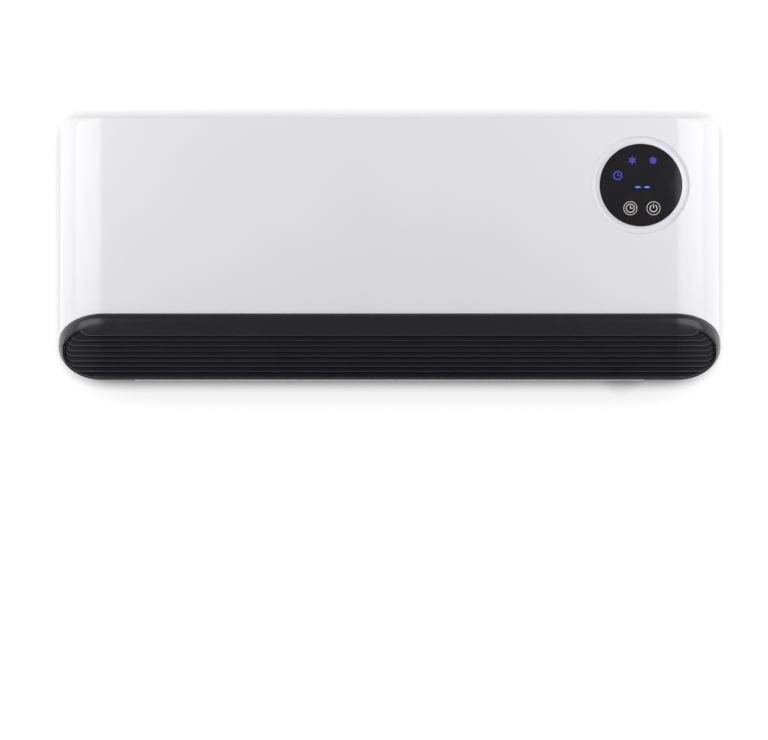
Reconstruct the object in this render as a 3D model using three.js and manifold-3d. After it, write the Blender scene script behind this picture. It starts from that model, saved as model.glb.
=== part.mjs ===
// Bathroom wall fan heater: a glossy white casing with round front corners, a black slatted air outlet
// along its foot, a round touch display, and inside it a cross-flow fan that blows through a ceramic
// heating element. Millimetres: +X is to the viewer's right, +Y goes into the wall, +Z is up. The origin
// is on the wall face, midway between the two keyholes that the heater hangs by.
import * as THREE from "three";
import { mergeVertices } from "three/addons/utils/BufferGeometryUtils.js";
import Module from "manifold-3d";

const wasm = await Module();
wasm.setup();

// ---------------------------------------------------------------------------------------------------
// Driving dimensions shared by several pieces
// ---------------------------------------------------------------------------------------------------
const GAP = 0.3; // left between two pieces that touch
const BODY_WIDTH = 546.8;
const BODY_HEIGHT = 217;
const TOP_DEPTH = 104; // from the wall to the front face at its top edge
const FRONT_LEAN = 8; // how much further forward the face stands at its foot
const CORNER_RADIUS = 38; // of the two front corners, seen from above
const FOOT_CURVE = 29; // height of the round lower corners, seen from the front
const TOP_ROUND = 6; // height of the edge round along the top
const TOP_ROUND_SIDE = 8; // how far that round draws the sides in
const TOP_ROUND_FRONT = 1.2; // and the front face
const WALL = 2.5; // casing wall
const REAR_DEPTH = 22; // of the rear housing
const REAR_INSET = 1.5; // the rear housing stands this far inside the front one
const HANG_HEIGHT = 150; // of the keyholes above the underside
const KEYHOLE_SPACING = 300;
const END_SPACE = 121.4; // beyond each end of the fan, for its motor and the electronics

const HALF_WIDTH = BODY_WIDTH / 2;
const CORNER_X = HALF_WIDTH - CORNER_RADIUS; // where the flat face turns into a corner
const PART_LINE = -REAR_DEPTH; // plane where the two housings meet
const ARC_STEPS = 6; // facets along a front corner
const CURVE_STEPS = 5; // levels along a round lower corner
const TOP_ROUND_STEPS = 3;
const FAR = 400; // beyond the part on every side

// ---------------------------------------------------------------------------------------------------
// Making solids
// ---------------------------------------------------------------------------------------------------
const AXES = {
  X: new THREE.Matrix4().makeBasis(vec(0, 1, 0), vec(0, 0, 1), vec(1, 0, 0)),
  Y: new THREE.Matrix4().makeBasis(vec(1, 0, 0), vec(0, 0, 1), vec(0, -1, 0)),
  Z: new THREE.Matrix4(),
};

function vec(x, y, z) {
  return new THREE.Vector3(x, y, z);
}

function clamp(value, low, high) {
  return Math.min(high, Math.max(low, value));
}

// A closed geometry as a solid that can be joined and cut.
function solid(geometry) {
  const bare = geometry.index ? geometry.toNonIndexed() : geometry.clone();
  bare.deleteAttribute("normal");
  bare.deleteAttribute("uv");
  const merged = mergeVertices(bare, 1e-4);
  const corners = merged.index.array;
  const kept = [];
  for (let i = 0; i < corners.length; i += 3) {
    const [a, b, c] = [corners[i], corners[i + 1], corners[i + 2]];
    if (a !== b && b !== c && a !== c) kept.push(a, b, c);
  }
  return new wasm.Manifold(
    new wasm.Mesh({
      numProp: 3,
      vertProperties: merged.attributes.position.array,
      triVerts: new Uint32Array(kept),
    }),
  );
}

function geometryOf(body) {
  const mesh = body.getMesh();
  const geometry = new THREE.BufferGeometry();
  geometry.setAttribute("position", new THREE.BufferAttribute(mesh.vertProperties, 3));
  geometry.setIndex(new THREE.BufferAttribute(mesh.triVerts, 1));
  geometry.computeVertexNormals();
  return geometry;
}

function joined(...bodies) {
  return bodies.flat().reduce((sum, body) => sum.add(body));
}

function cut(body, ...tools) {
  return tools.flat().reduce((rest, tool) => rest.subtract(tool), body);
}

function box(x0, x1, y0, y1, z0, z1) {
  const geometry = new THREE.BoxGeometry(x1 - x0, y1 - y0, z1 - z0);
  geometry.translate((x0 + x1) / 2, (y0 + y1) / 2, (z0 + z1) / 2);
  return solid(geometry);
}

// A closed outline extruded along X, Y or Z. Its plane is (y, z), (x, z) or (x, y).
function extruded(axis, shape, from, to, steps = 6) {
  const geometry = new THREE.ExtrudeGeometry(shape, {
    depth: to - from,
    bevelEnabled: false,
    curveSegments: steps,
  });
  geometry.applyMatrix4(AXES[axis]);
  if (axis === "X") geometry.translate(from, 0, 0);
  if (axis === "Y") geometry.translate(0, to, 0);
  if (axis === "Z") geometry.translate(0, 0, from);
  return solid(geometry);
}

function outline(points) {
  const apart = points.filter(([a, b], i) => {
    const [c, d] = points[(i + 1) % points.length];
    return Math.hypot(a - c, b - d) > 1e-3;
  });
  return new THREE.Shape(apart.map(([a, b]) => new THREE.Vector2(a, b)));
}

// A round bar along an axis; a and b place it in the plane across that axis.
function rod(axis, radius, from, to, a = 0, b = 0, sides = 12) {
  const circle = new THREE.Shape();
  circle.absarc(a, b, radius, 0, 2 * Math.PI);
  return extruded(axis, circle, from, to, sides / 2);
}

// A profile of [radius, height] points turned about an axis through the origin.
function turned(axis, profile, sides = 14) {
  const geometry = new THREE.LatheGeometry(
    profile.map(([r, h]) => new THREE.Vector2(r, h)),
    sides,
  );
  if (axis === "X") geometry.rotateZ(-Math.PI / 2);
  if (axis === "Z") geometry.rotateX(Math.PI / 2);
  const body = solid(geometry);
  return body.volume() < 0 ? solid(flipped(geometry)) : body;
}

function flipped(geometry) {
  const turnedRound = geometry.toNonIndexed();
  const position = turnedRound.attributes.position;
  for (let i = 0; i < position.count; i += 3) {
    const keep = vec(0, 0, 0).fromBufferAttribute(position, i);
    const swap = vec(0, 0, 0).fromBufferAttribute(position, i + 1);
    position.setXYZ(i, swap.x, swap.y, swap.z);
    position.setXYZ(i + 1, keep.x, keep.y, keep.z);
  }
  return turnedRound;
}

// A skin through closed rings of equally many points, capped at both ends. flat(p) gives a ring
// point's two coordinates in the plane of its ring.
function loft(rings, flat) {
  const count = rings[0].length;
  const position = rings.flat().flatMap((p) => [p.x, p.y, p.z]);
  const index = [];
  for (let level = 0; level + 1 < rings.length; level++) {
    for (let i = 0; i < count; i++) {
      const [a, b] = [level * count + i, level * count + ((i + 1) % count)];
      index.push(a, b, b + count, a, b + count, a + count);
    }
  }
  const last = (rings.length - 1) * count;
  const capOf = (ring) => THREE.ShapeUtils.triangulateShape(ring.map(flat), []);
  for (const [a, b, c] of capOf(rings[0])) index.push(a, c, b);
  for (const [a, b, c] of capOf(rings[rings.length - 1])) index.push(last + a, last + b, last + c);
  const geometry = new THREE.BufferGeometry();
  geometry.setAttribute("position", new THREE.Float32BufferAttribute(position, 3));
  geometry.setIndex(index);
  const body = solid(geometry);
  return body.volume() < 0 ? solid(flipped(geometry)) : body;
}

const inPlan = (p) => new THREE.Vector2(p.x, p.y);
const inSide = (p) => new THREE.Vector2(p.y, p.z);

// A strip of constant thickness along a line of [y, z] points, extruded along X.
function bentSheet(points, thickness, x0, x1) {
  const line = points.map(([y, z]) => new THREE.Vector2(y, z));
  const side = line.map((p, i) => {
    const before = line[Math.max(i - 1, 0)];
    const after = line[Math.min(i + 1, line.length - 1)];
    const along = after.clone().sub(before).normalize();
    const across = new THREE.Vector2(-along.y, along.x);
    const first = p.clone().sub(before).normalize();
    const bend = i > 0 && i < line.length - 1 ? Math.max(0.5, first.dot(along)) : 1;
    return across.multiplyScalar(thickness / 2 / bend);
  });
  const there = line.map((p, i) => [p.x + side[i].x, p.y + side[i].y]);
  const back = line.map((p, i) => [p.x - side[i].x, p.y - side[i].y]).reverse();
  return extruded("X", outline([...there, ...back]), x0, x1);
}

// ---------------------------------------------------------------------------------------------------
// Finishes, one material to each piece
// ---------------------------------------------------------------------------------------------------
const FINISHES = {
  gloss_white: [0xe9e9ee, 0.18, 0],
  satin_white: [0xdcdce0, 0.5, 0],
  satin_black: [0x242429, 0.38, 0],
  gloss_black: [0x17171b, 0.08, 0],
  matte_black: [0x1b1b1d, 0.65, 0],
  filter_grey: [0x8a8d92, 0.85, 0],
  galvanised: [0xb4b8bb, 0.42, 0.9],
  aluminium: [0xc9ccd0, 0.35, 0.95],
  lamination: [0x5c6066, 0.5, 0.8],
  bright_steel: [0xc4c6c8, 0.25, 1],
  bronze: [0xa87b45, 0.4, 0.9],
  rubber: [0x202022, 0.85, 0],
  grey_plastic: [0x6f757b, 0.55, 0],
  ivory_plastic: [0xd9cfb4, 0.5, 0],
  ceramic_white: [0xe4e1d8, 0.6, 0],
  coil_tape: [0xc9a531, 0.6, 0],
  board_green: [0x1f5b3a, 0.5, 0],
  relay_blue: [0x2456a6, 0.4, 0],
};

function material(finish) {
  const [color, roughness, metalness] = FINISHES[finish];
  return new THREE.MeshStandardMaterial({ name: finish, color, roughness, metalness });
}

function place(group, name, finish, body) {
  const mesh = new THREE.Mesh(geometryOf(body), material(finish));
  mesh.name = name;
  group.add(mesh);
  return mesh;
}

// ---------------------------------------------------------------------------------------------------
// The casing's form: plan rings stacked from the foot to the top
// ---------------------------------------------------------------------------------------------------
function frontY(z) {
  return -(TOP_DEPTH + FRONT_LEAN * (1 - z / BODY_HEIGHT));
}

const CORNER_LIMIT = 0.995; // keeps the last sliver of a round corner open

// One level of the casing: the front face, its two corners and the straight sides back to backY.
// reach is how much of the corner arc is left where a round lower corner cuts it, from 0 to 1.
function casingRing(z, inset, reach, backY, sideDraw = 0, frontDraw = 0) {
  const radiusX = CORNER_RADIUS - inset - sideDraw;
  const radiusY = CORNER_RADIUS - inset - frontDraw;
  const centreY = frontY(z) + CORNER_RADIUS;
  const most = Math.asin(reach);
  const right = [];
  for (let k = 0; k <= ARC_STEPS; k++) {
    const angle = (most * k) / ARC_STEPS;
    right.push([CORNER_X + radiusX * Math.sin(angle), centreY - radiusY * Math.cos(angle)]);
  }
  right.push([CORNER_X + radiusX * reach, backY]);
  const left = right.map(([x, y]) => [-x, y]).reverse();
  return [...left, ...right].map(([x, y]) => vec(x, y, z));
}

// The casing drawn in by inset on every side, from the foot to the top, back to backY.
function casingForm(inset, backY) {
  const rings = [];
  for (let k = 0; k <= CURVE_STEPS; k++) {
    const low = Math.cos(((Math.PI / 2) * k) / CURVE_STEPS);
    const reach = Math.sqrt(1 - Math.min(CORNER_LIMIT, low) ** 2);
    rings.push(casingRing(FOOT_CURVE - (FOOT_CURVE - inset) * low, inset, reach, backY));
  }
  const rise = TOP_ROUND - inset;
  for (let k = 0; k <= TOP_ROUND_STEPS; k++) {
    const angle = ((Math.PI / 2) * k) / TOP_ROUND_STEPS;
    const below = rise * (1 - Math.sin(angle));
    const share = clamp(1 - below / TOP_ROUND_FRONT, 0, 1);
    const sideDraw = (TOP_ROUND_SIDE - inset) * (1 - Math.cos(angle));
    const frontDraw = TOP_ROUND_FRONT * (1 - Math.sqrt(1 - share * share));
    rings.push(casingRing(BODY_HEIGHT - inset - below, inset, 1, backY, sideDraw, frontDraw));
  }
  return loft(rings, inPlan);
}

// ---------------------------------------------------------------------------------------------------
// Outlet grille: a black moulding with round nose and elliptical ends that wraps the casing's foot
// ---------------------------------------------------------------------------------------------------
const GRILLE_TOP = 55.2; // height of its upper edge
const GRILLE_PROUD_SIDE = 1.6; // how far it stands out of the casing's sides
const GRILLE_NOSE = TOP_DEPTH + FRONT_LEAN + 2.5; // furthest reach from the wall
const GRILLE_NOSE_HEIGHT = 44; // below this the face falls back
const GRILLE_FALL_BACK = 11.5; // how far it has fallen back at the foot
const GRILLE_BACK = -58; // where it ends against the casing's sides
const GRILLE_WALL = 2.2;
const GRILLE_FLOOR = 3.2;
const SHOULDER = 5; // depth of the round shoulder along the upper edge
const SHOULDER_START = 0.68; // share of the way to the edge where the shoulder begins
const FOOT_ROUND = 4; // depth of the edge round along the foot
const FOOT_ROUND_START = 0.88;
const RETURN_DEPTH = 12; // of the wall round the slatted opening
const SHELF_DEPTH = 5; // of the upper edge's return into the casing

const GRILLE_RADIUS_X = CORNER_RADIUS + GRILLE_PROUD_SIDE;
const GRILLE_CORNER_Y = frontY(0) + CORNER_RADIUS;

// Y of the grille's skin at a place on the front view, drawn in by inset.
function grilleY(x, z, inset = 0, sideInset = inset) {
  const across = clamp((Math.abs(x) - CORNER_X) / (GRILLE_RADIUS_X - sideInset), 0, 1);
  const upper = z > FOOT_CURVE;
  const half = (upper ? GRILLE_TOP - FOOT_CURVE : FOOT_CURVE) - sideInset;
  const fromEdge = Math.min(1, Math.hypot(across, (z - FOOT_CURVE) / half));
  const start = upper ? SHOULDER_START : FOOT_ROUND_START;
  const t = clamp((fromEdge - start) / (1 - start), 0, 1);
  const drop = (upper ? SHOULDER : FOOT_ROUND) * (1 - Math.sqrt(1 - t * t));
  const below = clamp((GRILLE_NOSE_HEIGHT - z) / GRILLE_NOSE_HEIGHT, 0, 1);
  const nose = GRILLE_NOSE - GRILLE_FALL_BACK * below ** 1.8;
  const depth = nose + GRILLE_CORNER_Y - inset;
  return GRILLE_CORNER_Y - depth * Math.sqrt(1 - across * across) + drop;
}

// The grille's outer form drawn in by inset at the sides and frontInset at the face. Levels run
// from the foot to the top.
function grilleForm(inset, frontInset, floor, backY) {
  const rings = [];
  const steps = CURVE_STEPS + 1;
  const level = (z, share) => {
    const reach = Math.sqrt(1 - Math.min(CORNER_LIMIT, share) ** 2);
    const right = [];
    for (let k = 0; k <= ARC_STEPS + 1; k++) {
      const angle = (Math.asin(reach) * k) / (ARC_STEPS + 1);
      const x = CORNER_X + (GRILLE_RADIUS_X - inset) * Math.sin(angle);
      right.push([x, grilleY(x, z, frontInset, inset)]);
    }
    right.push([right[right.length - 1][0], backY]);
    const left = right.map(([x, y]) => [-x, y]).reverse();
    return [...left, ...right].map(([x, y]) => vec(x, y, z));
  };
  for (let k = 0; k <= steps; k++) {
    const share = Math.cos(((Math.PI / 2) * k) / steps);
    rings.push(level(FOOT_CURVE - (FOOT_CURVE - floor) * share, share));
  }
  for (let k = 1; k <= steps; k++) {
    const share = Math.sin(((Math.PI / 2) * k) / steps);
    rings.push(level(FOOT_CURVE + (GRILLE_TOP - FOOT_CURVE - inset) * share, share));
  }
  return loft(rings, inPlan);
}

// The grille's outline seen from the front, grown by a margin: straight runs and elliptical ends.
function grilleOutline(grow) {
  const shape = new THREE.Shape();
  const rx = GRILLE_RADIUS_X + grow;
  const up = GRILLE_TOP - FOOT_CURVE + grow;
  const down = FOOT_CURVE + grow;
  const [quarter, half] = [Math.PI / 2, Math.PI];
  shape.absellipse(CORNER_X, FOOT_CURVE, rx, down, -quarter, 0);
  shape.absellipse(CORNER_X, FOOT_CURVE, rx, up, 0, quarter);
  shape.absellipse(-CORNER_X, FOOT_CURVE, rx, up, quarter, half);
  shape.absellipse(-CORNER_X, FOOT_CURVE, rx, down, half, half + quarter);
  return shape;
}

// The slatted opening, and the slats across it
const SLATS = 8; // and a last one on the opening's lower edge
const OPENING_BOTTOM = 3.3;
const OPENING_TOP = 37.8; // along the straight run, above which its ends sweep up
const TOP_SLAT = 37.4; // height of the first slat, which closes onto the opening's top edge
const OPENING_MIDDLE = 23.3; // height of its widest place
const OPENING_CREST = 42.8; // top that its round ends aim at
const OPENING_END_X = CORNER_X + 4.6; // where its round ends begin
const OPENING_END_RADIUS = 28.4;
const OPENING_STEPS = 6; // facets along a quarter of its oval end
const SWOOP_RISE = 3.6; // how far a slat's end sweeps up
const SWOOP_RUN = 8; // over this length
const SWOOP_BACK = 6; // and how far back it goes
const SLAT_RECESS = 1.2; // of the slats' front edges behind the rim
const SLAT_DEPTH = 8.5;
const SLAT_RISE = 3.2; // of a slat's rear edge over its front one
const SLAT_THICKNESS = 1.1;
const STIFFENERS = 5;
const STIFFENER_SPACING = 88;
const STIFFENER_THICKNESS = 1.8;
const STIFFENER_FRONT = 5.9; // its edges behind the grille's face
const STIFFENER_REAR = 11.5;
const STIFFENER_LEVELS = 5; // points along those edges
const FLANGE_WALL = 2; // of the wall round the opening

const SLAT_PITCH = (TOP_SLAT - OPENING_BOTTOM) / SLATS;

// X of the opening's end at a height. The upper half is a squarer oval than the lower one.
function openingEnd(z) {
  const upper = z > OPENING_MIDDLE;
  const power = upper ? 2.5 : 2;
  const half = upper ? OPENING_CREST - OPENING_MIDDLE : OPENING_MIDDLE - OPENING_BOTTOM;
  const share = Math.min(1, Math.abs(z - OPENING_MIDDLE) / half);
  return OPENING_END_X + OPENING_END_RADIUS * (1 - share ** power) ** (1 / power);
}

// The opening's outline seen from the front, grown by a margin. Its top runs straight and sweeps up
// into the ends as the first slat does.
function openingOutline(grow) {
  const right = [];
  const crest = OPENING_TOP + SWOOP_RISE;
  for (let k = -OPENING_STEPS; k <= OPENING_STEPS; k++) {
    const share = Math.sin(((Math.PI / 2) * k) / OPENING_STEPS);
    const half = k < 0 ? OPENING_MIDDLE - OPENING_BOTTOM : crest - OPENING_MIDDLE;
    const z = OPENING_MIDDLE + half * share;
    right.push([openingEnd(z) + (k === -OPENING_STEPS ? 0 : grow), z + grow * share]);
  }
  for (const share of [0.5, 0]) {
    const x = openingEnd(crest) - SWOOP_RUN * (1 - share);
    right.push([x, OPENING_TOP + SWOOP_RISE * share * share + grow]);
  }
  const left = right.map(([x, z]) => [-x, z]).reverse();
  return outline([...right, ...left]);
}

// One slat: a thin blade along the grille's face, its rear edge higher by slope, whose ends sweep up
// and back into the rim.
function slat(z, slope) {
  const endX = openingEnd(z + SWOOP_RISE);
  const swoopX = endX - SWOOP_RUN;
  const right = [CORNER_X];
  for (const share of [0.5, 1]) right.push(CORNER_X + (swoopX - CORNER_X) * share);
  for (const share of [0.35, 0.7, 1, 1.16]) right.push(swoopX + SWOOP_RUN * share);
  const stations = [...right.map((x) => -x).reverse(), ...right];
  const half = SLAT_THICKNESS / 2;
  const section = [
    [0, -half],
    [SLAT_DEPTH, slope - half],
    [SLAT_DEPTH, slope + half],
    [0, half],
  ];
  const rings = stations.map((x) => {
    const share = clamp((Math.abs(x) - swoopX) / SWOOP_RUN, 0, 1.2);
    const rise = SWOOP_RISE * share * share;
    const y = grilleY(x, z + rise) + SLAT_RECESS + SWOOP_BACK * share * share;
    return section.map(([back, up]) => vec(x, y + back, z + rise + up));
  });
  return loft(rings, inSide);
}

// An upright bar behind the slats that ties them together.
function stiffener(x) {
  const foot = OPENING_BOTTOM - 1;
  const step = (OPENING_TOP + FLANGE_WALL / 2 - foot) / (STIFFENER_LEVELS - 1);
  const levels = Array.from({ length: STIFFENER_LEVELS }, (_, i) => foot + i * step);
  const front = levels.map((z) => [grilleY(x, z) + STIFFENER_FRONT, z]);
  const back = levels.map((z) => [grilleY(x, z) + STIFFENER_REAR, z]).reverse();
  const half = STIFFENER_THICKNESS / 2;
  return extruded("X", outline([...front, ...back]), x - half, x + half);
}

const LIP_HALF_WIDTH = HALF_WIDTH - 63.4; // white lip of the casing that shows below the grille
const LIP_THICKNESS = 1.2;
const LIP_FRONT = -98;
const GRILLE_CLIPS = 5;
const CLIP_SPACING = 96;
const CLIP_WIDTH = 14;
const CLIP_HEIGHT = 6;

function outletGrille() {
  const form = grilleForm(0, 0, 0, GRILLE_BACK - GAP);
  const hollow = grilleForm(GRILLE_WALL, GRILLE_WALL, GRILLE_FLOOR, GRILLE_BACK + 1);
  const shelfBack = grilleY(0, GRILLE_TOP) + SHELF_DEPTH;
  const behind = box(-CORNER_X, CORNER_X, shelfBack, FAR, GRILLE_TOP - GRILLE_WALL - 1, FAR);
  const deep = grilleForm(GRILLE_WALL, RETURN_DEPTH, GRILLE_FLOOR - 1, GRILLE_BACK + 1);
  const around = extruded("Y", openingOutline(FLANGE_WALL), -FAR, GRILLE_BACK);
  const opening = extruded("Y", openingOutline(0), -FAR, GRILLE_BACK);
  const lip = box(-LIP_HALF_WIDTH - GAP, LIP_HALF_WIDTH + GAP, -FAR, 0, -1, LIP_THICKNESS + GAP);
  const shell = cut(form, hollow, behind);
  const flange = cut(form, deep).intersect(around);
  const slats = [];
  for (let i = 0; i <= SLATS; i++) slats.push(slat(TOP_SLAT - i * SLAT_PITCH, i ? SLAT_RISE : 0));
  const bars = spread(STIFFENERS, STIFFENER_SPACING).map(stiffener);
  const clipY = frontY(GRILLE_TOP) + WALL + GAP;
  const clipHalf = CLIP_WIDTH / 2;
  const clips = spread(GRILLE_CLIPS, CLIP_SPACING).map((x) =>
    box(x - clipHalf, x + clipHalf, clipY, clipY + GRILLE_WALL, GRILLE_TOP - 2, GRILLE_TOP + CLIP_HEIGHT),
  );
  return joined(cut(joined(shell, flange), opening, lip), slats, bars, clips);
}

// Places a number of things in a centred row.
function spread(count, spacing) {
  return Array.from({ length: count }, (_, i) => (i - (count - 1) / 2) * spacing);
}

// ---------------------------------------------------------------------------------------------------
// Display: a disc and its grooved ring in the leaning front face. Its pieces are modelled with the
// face in the plane z = 0 of their own frame, +Z out of the face and +Y up it.
// ---------------------------------------------------------------------------------------------------
const DISPLAY_X = HALF_WIDTH - 66.2;
const DISPLAY_HEIGHT = BODY_HEIGHT - 55.7;
const LENS_RADIUS = 33.9;
const LENS_THICKNESS = 2;
const LENS_BELOW_FACE = 0.3;
const BEZEL_RADIUS = 40.4;
const BEZEL_GROOVE = 2.3; // depth of the groove round the lens
const BEZEL_FLANGE = 3; // that holds the ring behind the casing
const BEZEL_FLANGE_THICKNESS = 1.6;
const BEZEL_WALL = 3.2;
const COLLAR_DEPTH = 6; // of the casing's flat seat for that flange, behind the face
const LENS_LEDGE = 2; // width of the ledge under the lens
const LENS_LEDGE_THICKNESS = 1.8;
const BOARD_THICKNESS = 1.6;
const DISPLAY_SIDES = 36;

const FACE_LEAN = Math.atan2(FRONT_LEAN, BODY_HEIGHT);
const LENS_BACK = -LENS_BELOW_FACE - LENS_THICKNESS;
const BEHIND_LENS = LENS_BACK - GAP;
const FLANGE_FRONT = -COLLAR_DEPTH - GAP;
const FLANGE_BACK = FLANGE_FRONT - BEZEL_FLANGE_THICKNESS;
const BOARD_FRONT = FLANGE_BACK - GAP;

function displayFrame() {
  const out = vec(0, -Math.cos(FACE_LEAN), Math.sin(FACE_LEAN));
  const up = vec(0, Math.sin(FACE_LEAN), Math.cos(FACE_LEAN));
  const frame = new THREE.Matrix4().makeBasis(vec(1, 0, 0), up, out);
  return frame.setPosition(DISPLAY_X, frontY(DISPLAY_HEIGHT), DISPLAY_HEIGHT);
}

function displayBezel() {
  const bore = LENS_RADIUS + GAP;
  const rim = 0.3; // flat edge on each side of the groove
  const middle = (bore + BEZEL_RADIUS) / 2;
  const half = (BEZEL_RADIUS - bore) / 2 - rim;
  const groove = [];
  const steps = 4;
  for (let k = 0; k <= steps; k++) {
    const angle = (Math.PI * k) / steps;
    const slope = -LENS_BELOW_FACE * (1 - k / steps);
    groove.push([middle - half * Math.cos(angle), slope - BEZEL_GROOVE * Math.sin(angle)]);
  }
  const inner = BEZEL_RADIUS - BEZEL_WALL;
  const ledgeBack = BEHIND_LENS - LENS_LEDGE_THICKNESS;
  return turned(
    "Z",
    [
      [bore - LENS_LEDGE, BEHIND_LENS],
      [bore, BEHIND_LENS],
      [bore, -LENS_BELOW_FACE],
      ...groove,
      [BEZEL_RADIUS, 0],
      [BEZEL_RADIUS, FLANGE_FRONT],
      [BEZEL_RADIUS + BEZEL_FLANGE, FLANGE_FRONT],
      [BEZEL_RADIUS + BEZEL_FLANGE, FLANGE_BACK],
      [inner, FLANGE_BACK],
      [inner, ledgeBack],
      [bore - LENS_LEDGE, ledgeBack],
      [bore - LENS_LEDGE, BEHIND_LENS],
    ],
    DISPLAY_SIDES,
  );
}

// The flat seat behind the casing's face that the ring's flange is held against.
function displayCollar() {
  const seat = disc(BEZEL_RADIUS + BEZEL_FLANGE, -COLLAR_DEPTH, -1, 0, 0, DISPLAY_SIDES);
  return moved(seat, displayFrame()).intersect(casingForm(WALL / 2, PART_LINE));
}

// A disc or bar standing on z = from.
function disc(radius, from, to, x = 0, y = 0, sides = 20) {
  return rod("Z", radius, from, to, x, y, sides);
}

function displayGroup() {
  const group = new THREE.Group();
  group.applyMatrix4(displayFrame());
  const boardBack = BOARD_FRONT - BOARD_THICKNESS;
  const chipTop = BEHIND_LENS - 0.2;
  const onBoard = BOARD_FRONT + GAP;
  const bezel = moved(displayBezel(), displayFrame()).intersect(casingForm(0, 0));
  place(group, "display_bezel", "gloss_white", moved(bezel, displayFrame().invert()));
  const lens = disc(LENS_RADIUS, LENS_BACK, -LENS_BELOW_FACE, 0, 0, DISPLAY_SIDES);
  place(group, "display_lens", "gloss_black", lens);
  place(group, "display_board", "board_green", disc(BEZEL_RADIUS, boardBack, BOARD_FRONT, 0, 0, 20));
  place(group, "digit_module", "matte_black", box(-12, 14, -8.5, 4, onBoard, chipTop));
  place(group, "icon_light_guide", "ivory_plastic", iconLightGuide(onBoard, chipTop));
  for (const [key, x] of Object.entries(KEYS)) {
    place(group, `touch_spring_${key}`, "bright_steel", touchSpring(x, onBoard, chipTop));
  }
  place(group, "infrared_receiver", "matte_black", infraredReceiver(onBoard));
  return group;
}

const KEYS = { timer: -8.7, power: 10.4 }; // places of the touch keys across the disc
const KEY_DROP = 19.1; // of the keys below the middle of the disc

// The block of light wells behind the three signs in the upper half of the disc.
function iconLightGuide(from, to) {
  const wells = [
    [-7.1, 20.4],
    [10, 20.4],
    [-19.1, 7.9],
  ];
  const blocks = wells.map(([x, y]) => disc(5.4, from, to, x, y, 10));
  const bores = wells.map(([x, y]) => disc(4.2, from + 1, to + 1, x, y, 10));
  const arms = [
    box(-7, 10, 19, 21.8, from, to - 1.5),
    box(-20.5, -17.7, 8, 20, from, to - 1.5),
    box(-20.5, -7, 19, 21.8, from, to - 1.5),
  ];
  return cut(joined(blocks, arms), bores);
}

// A touch key's spring: two turns shown as flanges on a thin core.
function touchSpring(x, from, to) {
  const height = to - from;
  const steps = 3;
  const rings = [];
  for (let k = 0; k < steps; k++) {
    const z = from + (height * k) / (steps - 1) - (k * 0.8) / (steps - 1);
    rings.push(disc(4.6, z, z + 0.8, x, -KEY_DROP, 10));
  }
  return joined(disc(3.4, from, to, x, -KEY_DROP, 10), rings);
}

function infraredReceiver(from) {
  const body = box(17, 23, 5, 11, from, from + 3.6);
  return joined(body, disc(2, from, from + 4.6, 20, 8, 12));
}

// ---------------------------------------------------------------------------------------------------
// Air inlet in the top: a well in the casing, a lift-out grille in it, and a filter under its bars
// ---------------------------------------------------------------------------------------------------
const INLET_HALF_WIDTH = HALF_WIDTH - 101.4;
const INLET_FRONT = -92;
const INLET_REAR = -30;
const WELL_DEPTH = 11;
const WELL_WALL = 2;
const WELL_LEDGE = 3; // width of the ledge that the inlet grille rests on
const WELL_LEDGE_THICKNESS = 2;
const INLET_BAR_PLATE = 2.2;
const INLET_FRAME = 2.2;
const INLET_SLOT = 4.6;
const INLET_ROWS = 6;
const INLET_COLUMNS = 4;
const INLET_RIB = 4; // between neighbouring columns of slots
const INLET_MARGIN = 5; // solid edge round the slots
const FILTER_THICKNESS = 1.4;
const FILTER_NET = 0.6;
const FILTER_RIM = 4;
const FILTER_RIBS = 5;
const FINGER_NOTCH = 9; // radius of the notch that a finger lifts the grille by

const WELL_FLOOR = BODY_HEIGHT - WELL_DEPTH; // top of the ledge
const INLET_TOP = BODY_HEIGHT - GAP;

function inletBox(shrink, z0, z1) {
  const half = INLET_HALF_WIDTH - shrink;
  return box(-half, half, INLET_FRONT + shrink, INLET_REAR - shrink, z0, z1);
}

// The well's walls and ledge, to be joined to the casing's top.
function inletWell() {
  const floor = WELL_FLOOR - WELL_LEDGE_THICKNESS;
  const outer = inletBox(-WELL_WALL, floor, BODY_HEIGHT - WALL / 2);
  return cut(outer, inletBox(0, WELL_FLOOR, FAR), inletBox(WELL_LEDGE, 0, FAR));
}

function inletGrille() {
  const tray = inletBox(GAP, WELL_FLOOR + GAP, INLET_TOP);
  const hollow = inletBox(GAP + INLET_FRAME, 0, INLET_TOP - INLET_BAR_PLATE);
  const width = 2 * (INLET_HALF_WIDTH - GAP - INLET_MARGIN);
  const column = (width + INLET_RIB) / INLET_COLUMNS;
  const depth = INLET_REAR - INLET_FRONT - 2 * (GAP + INLET_MARGIN);
  const row = (depth - INLET_SLOT) / (INLET_ROWS - 1);
  const middle = (INLET_FRONT + INLET_REAR) / 2;
  const [halfX, halfY] = [(column - INLET_RIB) / 2, INLET_SLOT / 2];
  const rows = spread(INLET_ROWS, row).map((y) => middle + y);
  const slots = spread(INLET_COLUMNS, column).flatMap((x) =>
    rows.map((y) => box(x - halfX, x + halfX, y - halfY, y + halfY, WELL_FLOOR, FAR)),
  );
  const notch = rod("Z", FINGER_NOTCH, WELL_FLOOR, FAR, 0, INLET_FRONT - FINGER_NOTCH / 3, 20);
  return cut(tray, hollow, ...slots, notch);
}

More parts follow.
